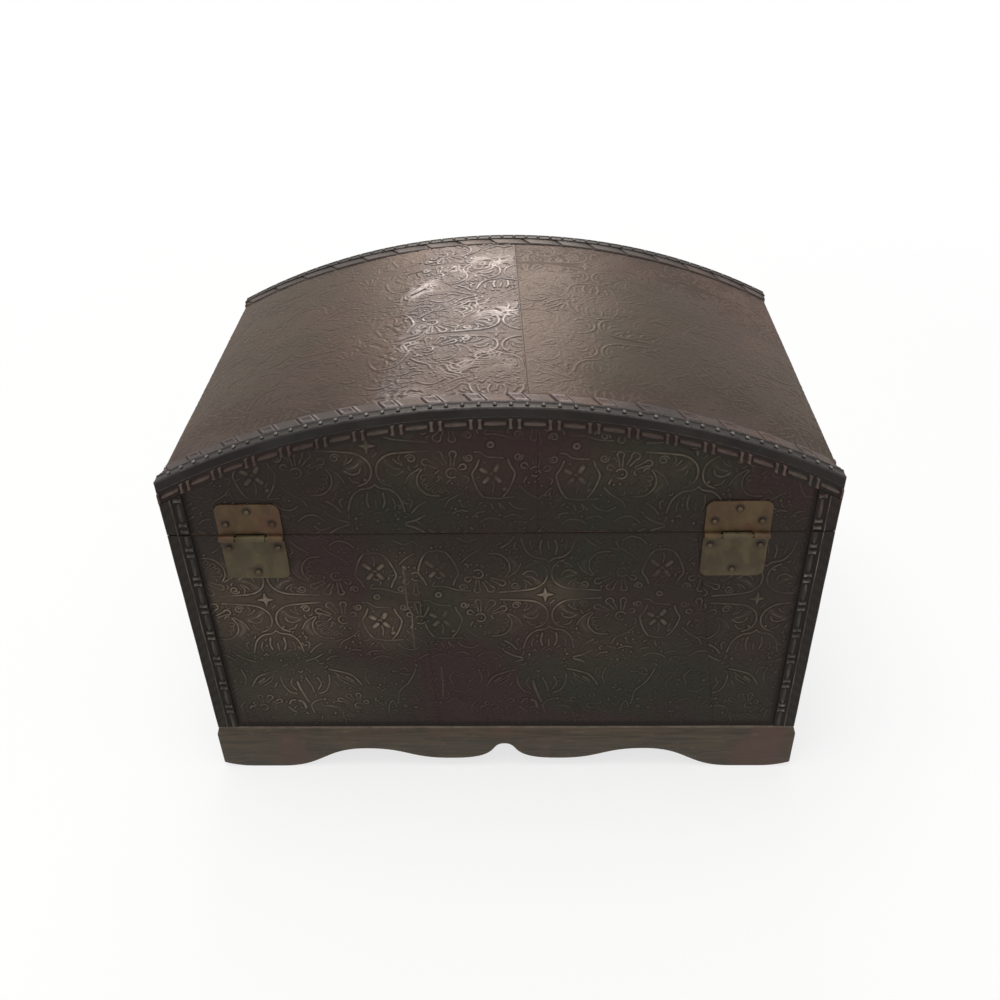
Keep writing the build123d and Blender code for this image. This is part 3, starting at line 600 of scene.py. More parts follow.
def drawStar(canvas):
    # four-pointed star in the middle, a ring on the axis between two brackets
    for reach in np.arange(starShape["dots"]) / (starShape["dots"] - 1):
        wide, tall = starShape["wide"] * reach, starShape["tall"] * reach
        for x, y in ((wide, 0), (-wide, 0), (0, tall), (0, -tall)):
            width = starShape["thick"] * (1 - reach) + starShape["tip"]
            drawRidge(canvas, [(canvas["star"] + x, y)], width, 1.0)
    drawRidge(canvas, ringPath(-canvas["left"] - 1.5, -1.0, 1.6), 0.62, 1.0)


def drawCrumbs(canvas):
    # short commas and dots in the empty ground
    dice = np.random.default_rng(canvas["seed"])
    rows, columns = canvas["ridge"].shape
    for _ in range(canvas["crumbs"]):
        i, j = int(dice.integers(0, columns)), int(dice.integers(0, rows))
        angle, length, bend = dice.uniform(0, 6.3), dice.uniform(0.1, 2.0), dice.uniform(-0.9, 0.9)
        width, height = dice.uniform(0.26, 0.50), dice.uniform(0.35, 0.95)
        around = canvas["ridge"][max(0, j - 7):j + 8, max(0, i - 7):i + 8]
        start = np.array([canvas["left"] + i * canvas["cell"], canvas["top"] + j * canvas["cell"]])
        if around.max() > 0.3 or abs(start[1]) < canvas["plainBand"]:
            continue
        way = np.array([math.cos(angle), math.sin(angle)]) * length
        side = np.array([-way[1], way[0]]) * bend
        drawRidge(canvas, smoothPath([start - way, start + side, start + way]), width, height)


def drawTile(tile):
    shape = [int(round(tile[size] / tile["cell"])) for size in ("height", "width")]
    canvas = {**tile, "ridge": np.zeros(shape), "gutter": np.zeros(shape)}
    for kind, ways in (("mirrored", tile["ways"]), ("single", once)):
        for width, height, *points in tile[kind]:
            drawRidge(canvas, smoothPath(points), width, height, ways)
        for x, y, radius, height in tile[kind + "Dots"]:
            drawRidge(canvas, [(x, y)], radius * 0.75, height, ways)
    for curl in tile["curls"]:
        drawRidge(canvas, curlPath(*curl), 0.46, 0.95, tile["ways"])
    drawMedallion(canvas)
    if "star" in tile:
        drawStar(canvas)
    drawCrumbs(canvas)
    return canvas


flowerCanvas = drawTile(flowerTile)
palmCanvas = drawTile(palmTile)


def pressing(canvas, u, v, axis, line):
    # u and v are bent a little, as hand-laid tin is never quite square.
    # Seen from outside, u runs to the left on the back: the drawing is turned to match.
    x = axis - (u + 0.7 * sin(v / 19.0) + 0.4 * sin(u / 27.0))
    y = line - (v + 0.6 * sin(u / 23.0 + 0.8))
    # bilinear reading of ridge and gutter; the drawing repeats both ways
    rows, columns = canvas["ridge"].shape
    column = (x - canvas["left"]) / canvas["cell"] - 0.5
    row = (y - canvas["top"]) / canvas["cell"] - 0.5
    i, j = np.floor(column).astype(int), np.floor(row).astype(int)
    fx, fy = column - i, row - j
    i, j, iNext, jNext = i % columns, j % rows, (i + 1) % columns, (j + 1) % rows
    out = []
    for field in (canvas["ridge"], canvas["gutter"]):
        upper = field[j, i] * (1 - fx) + field[j, iNext] * fx
        lower = field[jNext, i] * (1 - fx) + field[jNext, iNext] * fx
        out.append(upper * (1 - fy) + lower * fy)
    return np.array(out)


def step(value, low, high):
    t = clip((value - low) / (high - low), 0, 1)
    return t * t * (3 - 2 * t)


def window(value, low, high, soft=0.5):
    return step(value, low, low + soft) * (1 - step(value, high - soft, high))


def blobs(u, v, spots):
    # each spot: u, v, width, height, strength
    total = np.zeros_like(u)
    for x, y, wide, tall, strength in spots:
        total = np.maximum(total, strength * exp(-((u - x) / wide) ** 2 - ((v - y) / tall) ** 2))
    return total


def waves(u, v, seed):
    # slow waviness of hand-laid tin, from -1 to 1
    a = sin(u / 37.0 + seed) * cos(v / 29.0 + 1.7 * seed)
    b = sin(u / 17.0 - v / 23.0 + 2.3 * seed) * 0.6
    c = cos(u / 11.0 + v / 13.0 + 0.7 * seed) * 0.3
    return (a + b + c) / 1.9


print("embossing drawn")

# every piece that stands in for a solid rides on its body and takes its place


def addPiece(name, mesh, finish, body, node):
    mesh.materials.append(materials[finish])
    piece = addObject(name, mesh)
    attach(piece, body)
    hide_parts(node)


def closedGrid(rows, columns):
    # a fine grid in front, its rim turned back, and plain strips behind; gives the faces and the rim's points
    index = np.arange(rows * columns).reshape(rows, columns)
    ring = np.concatenate([index[0, :], index[1:, -1], index[-1, -2::-1], index[-2:0:-1, 0]])
    count = len(ring)
    faces = np.stack([index[:-1, :-1], index[:-1, 1:], index[1:, 1:], index[1:, :-1]], -1)
    faces = faces.reshape(-1, 4).tolist()
    behind = rows * columns + np.arange(count)
    after = np.roll(np.arange(count), -1)
    faces += np.stack([ring[after], ring, behind, behind[after]], -1).tolist()
    behind = behind.tolist()
    top = behind[columns + rows - 2:2 * columns + rows - 2][::-1]
    for i in range(columns - 1):
        face = [behind[i], top[i], top[i + 1], behind[i + 1]]
        if i == 0:
            face = behind[:1] + behind[:2 * columns + 2 * rows - 5:-1] + face[1:]
        if i == columns - 2:
            face = face[:-1] + behind[columns:columns + rows - 2][::-1] + face[-1:]
        faces.append(face)
    return faces, ring


def layGrid(name, points, back, values, finish, body, node):
    shape = points.shape[:2]
    values = {key: np.broadcast_to(field, shape) for key, field in values.items()}
    # the columns are flipped where the grid would face inwards
    corner = points[0, 0]
    if np.dot(np.cross(points[0, 1] - corner, points[1, 0] - corner), corner - back[0, 0]) < 0:
        points, back = points[:, ::-1], back[:, ::-1]
        values = {key: field[:, ::-1] for key, field in values.items()}
    faces, ring = closedGrid(*shape)
    verts = np.concatenate([points.reshape(-1, 3), back.reshape(-1, 3)[ring]]) * mm
    mesh = bpy.data.meshes.new(name)
    mesh.from_pydata(verts.tolist(), [], faces)
    for key, field in values.items():
        layer = mesh.attributes.new(key, "FLOAT", "POINT")
        level = field.reshape(-1)
        layer.data.foreach_set("value", np.concatenate([level, level[ring]]).astype(np.float32))
    mesh.update()
    mesh.validate()
    front = (shape[0] - 1) * (shape[1] - 1)
    mesh.polygons.foreach_set("use_smooth", [True] * front + [False] * (len(mesh.polygons) - front))
    addPiece(name, mesh, finish, body, node)


# where a sheet's u, v and height stand: on the front or back, on an end, on the dome

def facePlacer(sign):
    return lambda u, v, h: np.stack([u, sign * (halfDepth + h), v], -1)


def endPlacer(sign):
    return lambda u, v, h: np.stack([sign * (trunk["sheetX"] + h), u, v], -1)


def onDome(u, v, h):
    radius = edgeRadius + h
    return np.stack([radius * sin(u / edgeRadius), v, archCentre + radius * cos(u / edgeRadius)], -1)


# heights in mm, then how bright ground, ridge and groove are, how much the painted shade (and the dome's
# dulling) darkens, and how far it flattens the pressing
embossing = {
    "height": 0.62, "gutter": 0.24, "waviness": 0.14, "sheet": 0.5, "sink": 0.15,
    "ground": 0.30, "ridge": 0.70, "groove": 0.24, "dirt": 0.26, "filled": 0.85,
}


def rubbed(u, v, seed):
    # the pressing came out weaker here and there, from 0.4 to 1
    slow = sin(u / 9.0 + seed) * cos(v / 7.0 - seed) + 0.7 * sin(u / 5.1 - v / 6.3 + 2 * seed)
    fine = 0.5 * sin(u / 2.3 + v / 3.1 + seed) * sin(v / 2.1 - u / 3.7)
    return clip(0.86 + 0.26 * (slow + fine), 0.4, 1.0)


def laySheet(name, body, node, grid, pattern, put, seed, wear, dirt=0.0, tint=0.0, lift=0.0, tin="tinDark"):
    # seed is that of the sheet's waviness, lift its height over its neighbour
    # dirt carries painted shade beside the walls' strips and edges, and the dome's darker, rougher parts; it
    # darkens the colour and flattens the pressing
    look = embossing
    u, v = grid
    ridge, gutter = pattern * rubbed(u, v, seed) * (1 - look["filled"] * dirt)
    height = ridge * look["height"] - gutter * (1 - ridge) * look["gutter"]
    height = height + look["waviness"] * waves(u, v, seed) - look["sink"] + lift
    relief = look["ground"] + look["ridge"] * ridge - look["groove"] * gutter * (1 - ridge)
    relief = relief - look["dirt"] * dirt
    values = {"relief": relief, "wear": wear, "tint": tint}
    layGrid(name, put(u, v, height), put(u, v, -look["sheet"] + 0 * u), values, tin, body, node)


def spread(edges, bottom, top, part, cell):
    # a grid between two edges that may lean; top may be a function of u, part is the share laid now
    lowBottom, lowTop, highBottom, highTop = edges
    tall = top if not callable(top) else float(top(np.array((lowTop + highTop) / 2)))
    columns = int(max(highBottom - lowBottom, highTop - lowTop) / cell) + 1
    rows = int((tall - bottom) * (part[1] - part[0]) / cell) + 1
    t = np.linspace(0, 1, columns + 1)[None, :]
    s = np.linspace(part[0], part[1], rows + 1)[:, None]
    u = (lowBottom + (lowTop - lowBottom) * s) * (1 - t) + (highBottom + (highTop - highBottom) * s) * t
    v = bottom + (((top(u) if callable(top) else top) - bottom) * s)
    return u, v + 0 * u


hingeGap = {"low": 201.5, "high": 216.0, "half": 23.0, "soft": 2}


def hingeClear(u, v):
    # the tin lies flat behind the hinge knuckles
    clear = np.ones_like(u)
    for middle in hingeMiddles.values():
        beside = 1 - step(abs(u - middle), hingeGap["half"] - hingeGap["soft"], hingeGap["half"])
        clear = clear * (1 - beside * window(v, hingeGap["low"], hingeGap["high"], hingeGap["soft"]))
    return clear


# painted shade beside the edge strips and along the bottom and the top: strength, full up to, gone from
paintedShadeBands = {"side": (1, 0.6, 5.0), "bottom": (0.9, 1.5, 8.0), "top": (0.6, 0.3, 2.0)}


# how strongly each point of a wall sheet takes the painted shade, from 0 to 1
def paintedShadeMask(u, v, low, high):
    away = {"side": halfWidth - trunk["stripWidth"] - abs(u), "bottom": v - low, "top": high - v}
    return np.maximum.reduce([
        strength * (1 - step(away[where], full, gone)) for where, (strength, full, gone) in paintedShadeBands.items()
    ])


whole = {"": (0, 1)}
halves = {"Low": (0, 0.5), "High": (0.5, 1)}
panel = (-199.0, -199.0, 199.0, 199.0)

# body sheets on the back: three sheets of the same pressed tin, each laid with its own offset
backSheets = {
    "left": {"edges": (-199.0, -199.0, -145.0, -119.0), "parts": whole,
             "axis": -163.0, "star": 156.0, "palmAxis": -133.3, "lift": 0.0},
    "middle": {"edges": (-145.0, -119.0, 44.2, 52.2), "parts": halves,
               "axis": -31.0, "star": 160.0, "palmAxis": -27.0, "lift": 0.1},
    "right": {"edges": (44.2, 52.2, 199.0, 199.0), "parts": halves,
              "axis": 146.1, "star": 157.5, "palmAxis": 131.7, "lift": 0.0},
}
creases = [  # x of each point, z of each point
    ((59.3, 59.0, 56.6, 57.2, 56.8), (186.0, 152.0, 144.0, 130.0, 112.0)),
    ((40.4, 40.3, 41.0), (100.0, 82.0, 66.0)),
]
backWear = [
    (140, 140, 44, 34, 1.0), (-31, 160, 24, 14, 0.85), (75, 135, 26, 26, 0.75), (165, 150, 40, 40, 0.8),
    (60, 175, 30, 30, 0.45), (0, 150, 60, 40, 0.45), (130, 75, 60, 40, 0.6), (-60, 120, 80, 50, 0.35),
    (-160, 120, 40, 80, 0.25),
]
backRed = [
    (100, 178, 32, 24, 1.0), (92, 112, 24, 20, 0.9), (28, 95, 30, 34, 0.9), (-40, 120, 60, 30, 0.5),
    (-150, 150, 40, 30, 0.6),
]
backGreen = [
    (150, 92, 50, 26, 1.0), (75, 165, 16, 26, 0.8), (-10, 185, 60, 16, 0.7), (-90, 80, 60, 30, 0.8),
    (40, 140, 26, 18, 0.6),
]
wallLook = {
    "backCell": 0.42, "frontCell": 0.6,
    "palmLine": 94.0, "changeFrom": 7, "changeTo": 9.5,   # the lower strip reaches a little past its line
    "wear": 0.2, "crease": 0.5, "creaseHeight": 0.85, "creaseFade": 3,
}


def backBody(side, part, share):
    sheet = backSheets[side]
    line = wallLook["palmLine"]
    u, v = grid = spread(sheet["edges"], bodyBottom, bodyTop, share, wallLook["backCell"])
    upper = pressing(flowerCanvas, u, v, sheet["axis"], sheet["star"])
    lower = pressing(palmCanvas, u, v, sheet["palmAxis"], line)
    blend = step(v, line + wallLook["changeFrom"], line + wallLook["changeTo"])
    wear = wallLook["wear"] + blobs(u, v, backWear)
    pattern = (upper * blend + lower * (1 - blend)) * hingeClear(u, v) * (0.72 + 0.28 * clip(wear, 0, 1))
    for xs, zs in creases:
        near = exp(-((u - np.interp(v, zs[::-1], xs[::-1])) / wallLook["crease"]) ** 2)
        near = near * window(v, zs[-1], zs[0], wallLook["creaseFade"])
        pattern[0] = np.maximum(pattern[0], wallLook["creaseHeight"] * near)
    # painted shade beside the edge strips, above the plinth and under the lid
    dirt = paintedShadeMask(u, v, bodyBottom, bodyTop)
    tint = blobs(u, v, backRed) - blobs(u, v, backGreen)
    laySheet(title("body", "back", side, part), "body", f"body_back_sheet_{side}", grid, pattern,
             facePlacer(1), 1.0, wear, dirt, tint, sheet["lift"])


def frontBody(part, share):
    u, v = grid = spread(panel, bodyBottom, bodyTop, share, wallLook["frontCell"])
    laySheet("bodyFront" + part, "body", "body_front_sheet", grid, pressing(flowerCanvas, u, v, 0.0, 152.0),
             facePlacer(-1), 4.0, 0.5 + 0.3 * waves(u, v, 2.2))


endLook = {
    # height of the row of stars, cell of the grid, seeds of the waviness and of the wear
    "body": (150.0, 0.65, 5.0, 3.1), "lid": (260.0, 0.6, 8.0, 2.1),
}


def endSheet(side, sign, body, bottom, top):
    half = trunk["innerY"]
    star, cell, seed, wearSeed = endLook[body]
    u, v = grid = spread((-half, -half, half, half), bottom, top, (0, 1), cell)
    laySheet(title(body, side, "end"), body, f"{body}_{side}_sheet", grid,
             pressing(flowerCanvas, u, v, 8.0 * sign, star), endPlacer(sign), seed + sign,
             0.5 + 0.3 * waves(u, v, wearSeed))


for side, sheet in backSheets.items():
    for part, share in sheet["parts"].items():
        backBody(side, part, share)
for part, share in halves.items():
    frontBody(part, share)
endTop = float(archHeight(edgeRadius - 0.6, np.array(trunk["sheetX"])))
for side, sign in (("left", -1), ("right", 1)):
    endSheet(side, sign, "body", bodyBottom, bodyTop)
    endSheet(side, sign, "lid", lidBottom, endTop)
print("body and end tin laid")

# lid sheets: the back in two, the front in one
lidSheets = {
    "lidBackLeft": {"node": "lid_back_sheet_left", "sign": 1, "edges": (-199.0, -199.0, -23.5, -23.5),
                    "axis": -116.0, "star": 269.0, "cell": 0.47},
    "lidBackRight": {"node": "lid_back_sheet_right", "sign": 1, "edges": (-23.5, -23.5, 199.0, 199.0),
                     "axis": 71.5, "star": 271.5, "cell": 0.47},
    "lidFront": {"node": "lid_front_sheet", "sign": -1, "edges": panel,
                 "axis": 0.0, "star": 262.0, "cell": 0.62},
}
lidRed = [(95, 262, 60, 24, 0.9), (0, 262, 50, 30, 0.9), (160, 235, 30, 20, 0.5)]
lidGreen = [(-80, 228, 60, 16, 1.0), (70, 224, 50, 10, 0.9), (-140, 245, 40, 24, 0.4)]
lidWear = [(31, 255, 60, 22, 0.35), (-75, 255, 60, 22, 0.4), (75, 262, 30, 14, 0.35), (0, 240, 150, 40, 0.15)]


def lidFace(name):
    sheet = lidSheets[name]
    under = rimRadius - trunk["lip"] - trunk["border"] + 2.0
    u, v = grid = spread(sheet["edges"], lidBottom, lambda x: archHeight(under, x), (0, 1), sheet["cell"])
    pattern = pressing(flowerCanvas, u, v, sheet["axis"], sheet["star"])
    if sheet["sign"] > 0:
        wear = 0.2 + blobs(u, v, lidWear)
        pattern = pattern * hingeClear(u, v) * (0.75 + 0.25 * clip(wear, 0, 1))
        tint = blobs(u, v, lidRed) - blobs(u, v, lidGreen)
    else:
        wear = 0.5 + 0.3 * waves(u, v, 1.2)
        tint = 0.5 * waves(u, v, 5.2)
    # the lid's foot gets no painted shade and its top is under the border, so the painted shade lies only
    # along the sides
    laySheet(name, "lid", sheet["node"], grid, pattern, facePlacer(sheet["sign"]), 7.0, wear,
             paintedShadeMask(u, v, lidBottom - 7.0, 400.0), tint)


for name in lidSheets:
    lidFace(name)

# the dome: two sheets that meet at a leaning seam, the right one painted bright beside it, partly rubbed tin
# and partly a painted reflection of the far window
domeEnd = edgeRadius * math.asin((trunk["sheetX"] + 0.4) / edgeRadius)
domeHalf = stripY - trunk["rimWidth"] - 0.3
domeCell = 0.54
domeSheets = {
    "right": {"edges": (-9.35, -19.35, domeEnd, domeEnd), "axis": -1.3, "star": 33.5, "lift": 0.05},
    "left": {"edges": (-domeEnd, -domeEnd, -9.0, -19.0), "axis": -63.0, "star": 34.0, "lift": 0.0},
}
# where the painted reflection on the right sheet ends, and how much of it fades there
brightTin = {"from": 54.0, "to": 76.0, "fade": 0.94}
domeScratch = [
    (-138, 28.6, 3.6, 1.1, 0.9), (-144, 31.7, 3, 1, 0.6), (-168, 42, 2.2, 1, 0.5), (129, -45, 5, 2.2, 0.25),
]
domeRed = [
    (-145, 33, 11, 5, 1.0), (-60, -80, 34, 16, 0.8), (-118, 6, 12, 8, 1.0), (133, -42, 9, 6, 1.0),
    (-170, -60, 20, 22, 0.7), (110, 40, 40, 24, 0.5),
]
domeGreen = [(160, 60, 46, 60, 1), (-150, 70, 50, 40, 0.8), (-120, -60, 30, 30, 0.6), (150, -60, 40, 30, 0.5)]


def swirls(u, v):
    # close-set lines that wind round each other, between and over the flowers
    a = u + 5.0 * sin(v / 8.3 + 0.6) + 2.2 * sin(v / 3.7 + u / 9.0)
    b = v + 4.2 * sin(u / 7.1 + 1.1) + 1.8 * sin(u / 3.1 - v / 8.0)
    field = sin(a / 6.4) * cos(b / 5.6) + 0.55 * sin(a / 13.0 - b / 9.4) + 0.3 * sin(b / 3.3)
    field = field * 2.3
    away = abs(field - np.round(field))
    slope = np.hypot(*np.gradient(field)) / domeCell + 0.12
    line = clip(1 - (away / slope / 1.15) ** 2, 0, 1)
    return line * clip(0.35 + 0.9 * sin(a / 17.0 + 1.0) * cos(b / 12.0), 0, 1)


def domeSheet(side, part, share):
    sheet = domeSheets[side]
    u, v = grid = spread(sheet["edges"], -domeHalf, domeHalf, share, domeCell)
    # the pressing is broader and softer than on the walls
    shifts = ((0, 0), (0.42, 0), (-0.42, 0), (0, 0.42), (0, -0.42))
    looks = [pressing(flowerCanvas, u + du, v + dv, sheet["axis"], sheet["star"]) for du, dv in shifts]
    pattern = np.array([np.maximum.reduce([look[0] for look in looks]), 0.5 * looks[0][1]])
    fromSeam = abs(u + 14.0 + 5.0 * v / domeHalf)
    if side == "right":
        # shine is the painted reflection: full up to brightTin's edge, weaker towards the back rim and beside
        # the seam
        bend = 2.5 * sin(v / 21.0) + 1.5 * sin(v / 9.0 + 1.0)
        shine = 1 - brightTin["fade"] * step(u + bend - 0.06 * v, brightTin["from"], brightTin["to"])
        shine = shine * (1 - 0.35 * step(v, -20, 110)) * (0.86 + 0.14 * waves(2 * u, 2 * v, 4.0))
        shine = shine * (1 - 0.32 * exp(-fromSeam / 9.0) * (0.3 + 0.7 * step(v, 0, 70)))
        pattern[0] = np.maximum(pattern[0] * 0.85, 0.85 * swirls(u, v))
        pattern = pattern * (0.34 + 0.95 * shine)
    else:
        # a faint shine with bright scratches, and the painted reflection running on over the seam
        shine = 0.06 + 0.08 * waves(u, v, 9.0) + blobs(u, v, domeScratch)
        shine = shine + 0.30 * exp(-fromSeam / 13.0) * (0.5 + 0.5 * step(v, -30, 70))
        pattern[0] = np.maximum(pattern[0] * 0.9, 0.7 * swirls(u + 40, v - 30))
        pattern = pattern * (0.36 + 0.16 * waves(u, v, 6.0))
    # both sheets run out flat at the seam, and are dull on the front half and beside the back rim's ends
    pattern = pattern * step(fromSeam, 0.2, 1.8)
    dull = 0.10 + (0.14 if side == "right" else 0.40) * step(-v, -30, 100)
    dull = dull + 0.35 * step(v, 20, 100) * step(abs(u - 20), 45, 85)
    tint = blobs(u, v, domeRed) - blobs(u, v, domeGreen)
    laySheet(title("dome", side, part), "lid", f"lid_top_sheet_{side}", grid, pattern, onDome, 11.0,
             clip(shine, 0, 1), dull, tint, sheet["lift"], "tinTop")


for side in domeSheets:
    for part, share in halves.items():
        domeSheet(side, part, share)
print("lid tin laid")

# pressed border of rounded bars and pairs of bone-shaped ticks
bamboo = {
    "period": 22.1, "tick": 2.45, "tickHalf": 1.25, "barFrom": 4.3, "barHalf": 1.5,
    "middle": 4.2, "reach": 3.6, "height": 1.4, "columns": 1151, "rows": 25,
}


def bambooField(s, w, middle, reach, period):
    # s runs along the border from the middle of a pair of ticks, w across it
    t = abs((s + period / 2) % period - period / 2)
    across = abs(w - middle) / reach
    width = bamboo["tickHalf"] * (0.85 + 0.55 * across ** 2)
    tick = clip(1 - ((t - bamboo["tick"]) / width) ** 2, 0, 1) ** 0.5 * step(1 - across, 0, 0.22)
    along = (period / 2 - t) / (period / 2 - bamboo["barFrom"])
    width = bamboo["barHalf"] * (1 - 0.35 * along ** 2)
    bar = clip(1 - ((w - middle) / width) ** 2, 0, 1) ** 0.5 * step(1 - along, 0, 0.10)
    return np.maximum(tick, 0.72 * bar)


def archBorder(face, sign):
    outer = rimRadius - trunk["lip"] + 0.3
    width = trunk["border"] + 0.3
    s, w = np.meshgrid(np.linspace(-rimEnd, rimEnd, bamboo["columns"]), np.linspace(0, width, bamboo["rows"]))
    x = rimRadius * sin(s / rimRadius)
    z = archHeight(outer - w, x)
    field = bambooField(s - bamboo["period"] / 2, w, bamboo["middle"], bamboo["reach"], bamboo["period"])
    height = bamboo["height"] * field - 0.35 * step(w, width - 0.5, width)
    points = np.stack([x, sign * (halfDepth + 0.3 + height), z], -1)
    back = np.stack([x, sign * (halfDepth - 0.2 + 0 * x), z], -1)
    values = {"relief": 0.12 + 0.88 * field, "wear": 0.55 + 0.3 * sin(s / 31.0 + 1.0)}
    layGrid(title("lid", face, "border"), points, back, values, "tinTrim", "lid", f"lid_{face}_border")


# rim folded over the arch: distance in from the strip's face, rise over the rim's radius, and shine, the
# painted highlight on the rounded tops and painted shade on the lip's face
rimProfile = [
    (1.10, -6.80, 0.0), (0.45, -6.85, 0.3), (0.08, -6.55, 0.8), (0.00, -6.10, 0.5), (0.10, -5.4, 0.1),
    (0.12, -4.0, 0.1), (0.10, -2.6, 0.1), (0.14, -1.6, 0.1), (0.05, -1.15, 0.5), (-0.12, -0.75, 0.9),
    (-0.10, -0.35, 1.0), (0.12, -0.02, 1.0), (0.50, 0.12, 1.0), (0.88, 0.02, 0.7), (1.10, -0.22, 0.25),
    (1.6, -0.30, 0.35), (3.0, -0.28, 0.45), (4.6, -0.26, 0.45), (5.7, -0.22, 0.35), (6.1, 0.05, 0.55),
    (6.45, 0.30, 0.85), (6.85, 0.28, 0.7), (7.05, -0.02, 0.3), (7.05, -1.0, 0.0),
]


def archRim(face, sign):
    inset, rise, shine = np.array(rimProfile).T[:, :, None]
    s = np.linspace(-rimEnd, rimEnd, 561)[None, :] + 0 * inset
    x = rimRadius * sin(s / rimRadius)
    wobble = (0.06 * sin(s / 9.0) + 0.05 * sin(s / 3.7 + 1.0)) * (rise < -1)
    points = np.stack([x, sign * (stripY - inset + wobble), archHeight(rimRadius + rise, x)], -1)
    backZ = archHeight(rimRadius + np.minimum(rise - 0.1, -0.95), x)
    back = np.stack([x, sign * (stripY - np.maximum(inset, 1.1)) + 0 * x, backZ], -1)
    # painted highlight and shade across the rim's rows
    values = {"relief": 0.2 + 0.8 * shine, "wear": 0.7 + 0.3 * sin(s / 23.0)}
    layGrid(title("lid", face, "rim"), points, back, values, "tinRim", "lid", f"lid_{face}_rim")


# twisted ribbon beside each rim: a small raised link with a groove, then a longer flat one
ribbon = {
    "period": 24.4, "shift": 17.3, "lean": 0.62, "small": 8.8, "height": 0.85, "columns": 1100, "rows": 34,
    # painted light: the far strip is painted darker, as shade, and the near one has a painted highlight at
    # brightAt that darkens towards both ends
    "farShine": 0.28, "nearShine": 0.84, "brightAt": 25.0, "dullFrom": 50.0, "dullTo": 130.0, "dull": 0.38,
}


def ribbonField(s, w, width, sign):
    # w is 0 beside the rim; the links lean the same way round the trunk
    period, small = ribbon["period"], ribbon["small"]
    t = (s + ribbon["shift"] - sign * ribbon["lean"] * (w - width / 2)) % period
    inWidth = window(w, 0.4, width - 0.9, 0.6)
    if sign < 0:
        # on the far side the ribbon lies as overlapping plates
        plate = 0.5 + 0.5 * t / period
        edge = 0.15 * window(w, 0.6, 2.4) + 0.12 * window(w, width - 3.2, width - 1.4)
        return inWidth * clip(plate + edge - 0.18, 0, 1) * window(t, 0.2, period - 1.0, 0.8)
    groove = window(t, 1.5, small - 1.5, 0.6) * window(w, 2.6, width - 3.0, 0.6)
    link = window(t, 0.0, small) * inWidth * (1 - 0.45 * groove)
    start = small + 0.7
    share = (t - start) / (period - start)
    large = window(t, start, period) * inWidth
    large = large * (0.38 + 0.22 * share + 0.35 * step(t, period - 2.2, period - 1.4))
    return np.maximum(link, large)


def ropeStrip(face, sign):
    width = trunk["ropeWidth"]
    end = edgeRadius * math.asin(trunk["sheetX"] / edgeRadius)
    s, w = np.meshgrid(np.linspace(-end, end, ribbon["columns"]), np.linspace(0, width, ribbon["rows"]))
    field = ribbonField(s, w, width, sign)
    y = sign * (stripY - trunk["rimWidth"] - 0.15 - w)
    # how bright the strip is painted: painted shade on the far strip, a painted highlight on the near one
    shine = ribbon["farShine"]
    if sign > 0:
        away = step(abs(s - ribbon["brightAt"]), ribbon["dullFrom"], ribbon["dullTo"])
        shine = ribbon["nearShine"] * (1 - ribbon["dull"] * away)
    values = {"relief": 0.08 + shine * field, "wear": 0.6 + 0.3 * sin(s / 40.0 + sign)}
    points, back = onDome(s, y, 0.05 + ribbon["height"] * field), onDome(s, y, -0.45)
    layGrid(title("lid", face, "rope"), points, back, values, "tinRope", "lid", f"lid_{face}_rope_strip")


for face, sign in (("front", -1), ("back", 1)):
    archBorder(face, sign)
    archRim(face, sign)
    ropeStrip(face, sign)

# upright edge strips: rounded bars and ticks, a thin bright line, a dented outer band folded round the corner
stripLook = {
    "period": 22.9, "bodyFirst": 196.0, "lidFirst": 214.6, "middle": 2.9, "reach": 2.8, "line": 7.2,
    "bend": 0.8, "height": 1.5, "thick": 0.7, "cell": 0.36,
    "lineHalf": 0.62, "lineHeight": 0.85, "foldHalf": 0.9, "foldHeight": 0.5, "dent": 0.1,
}


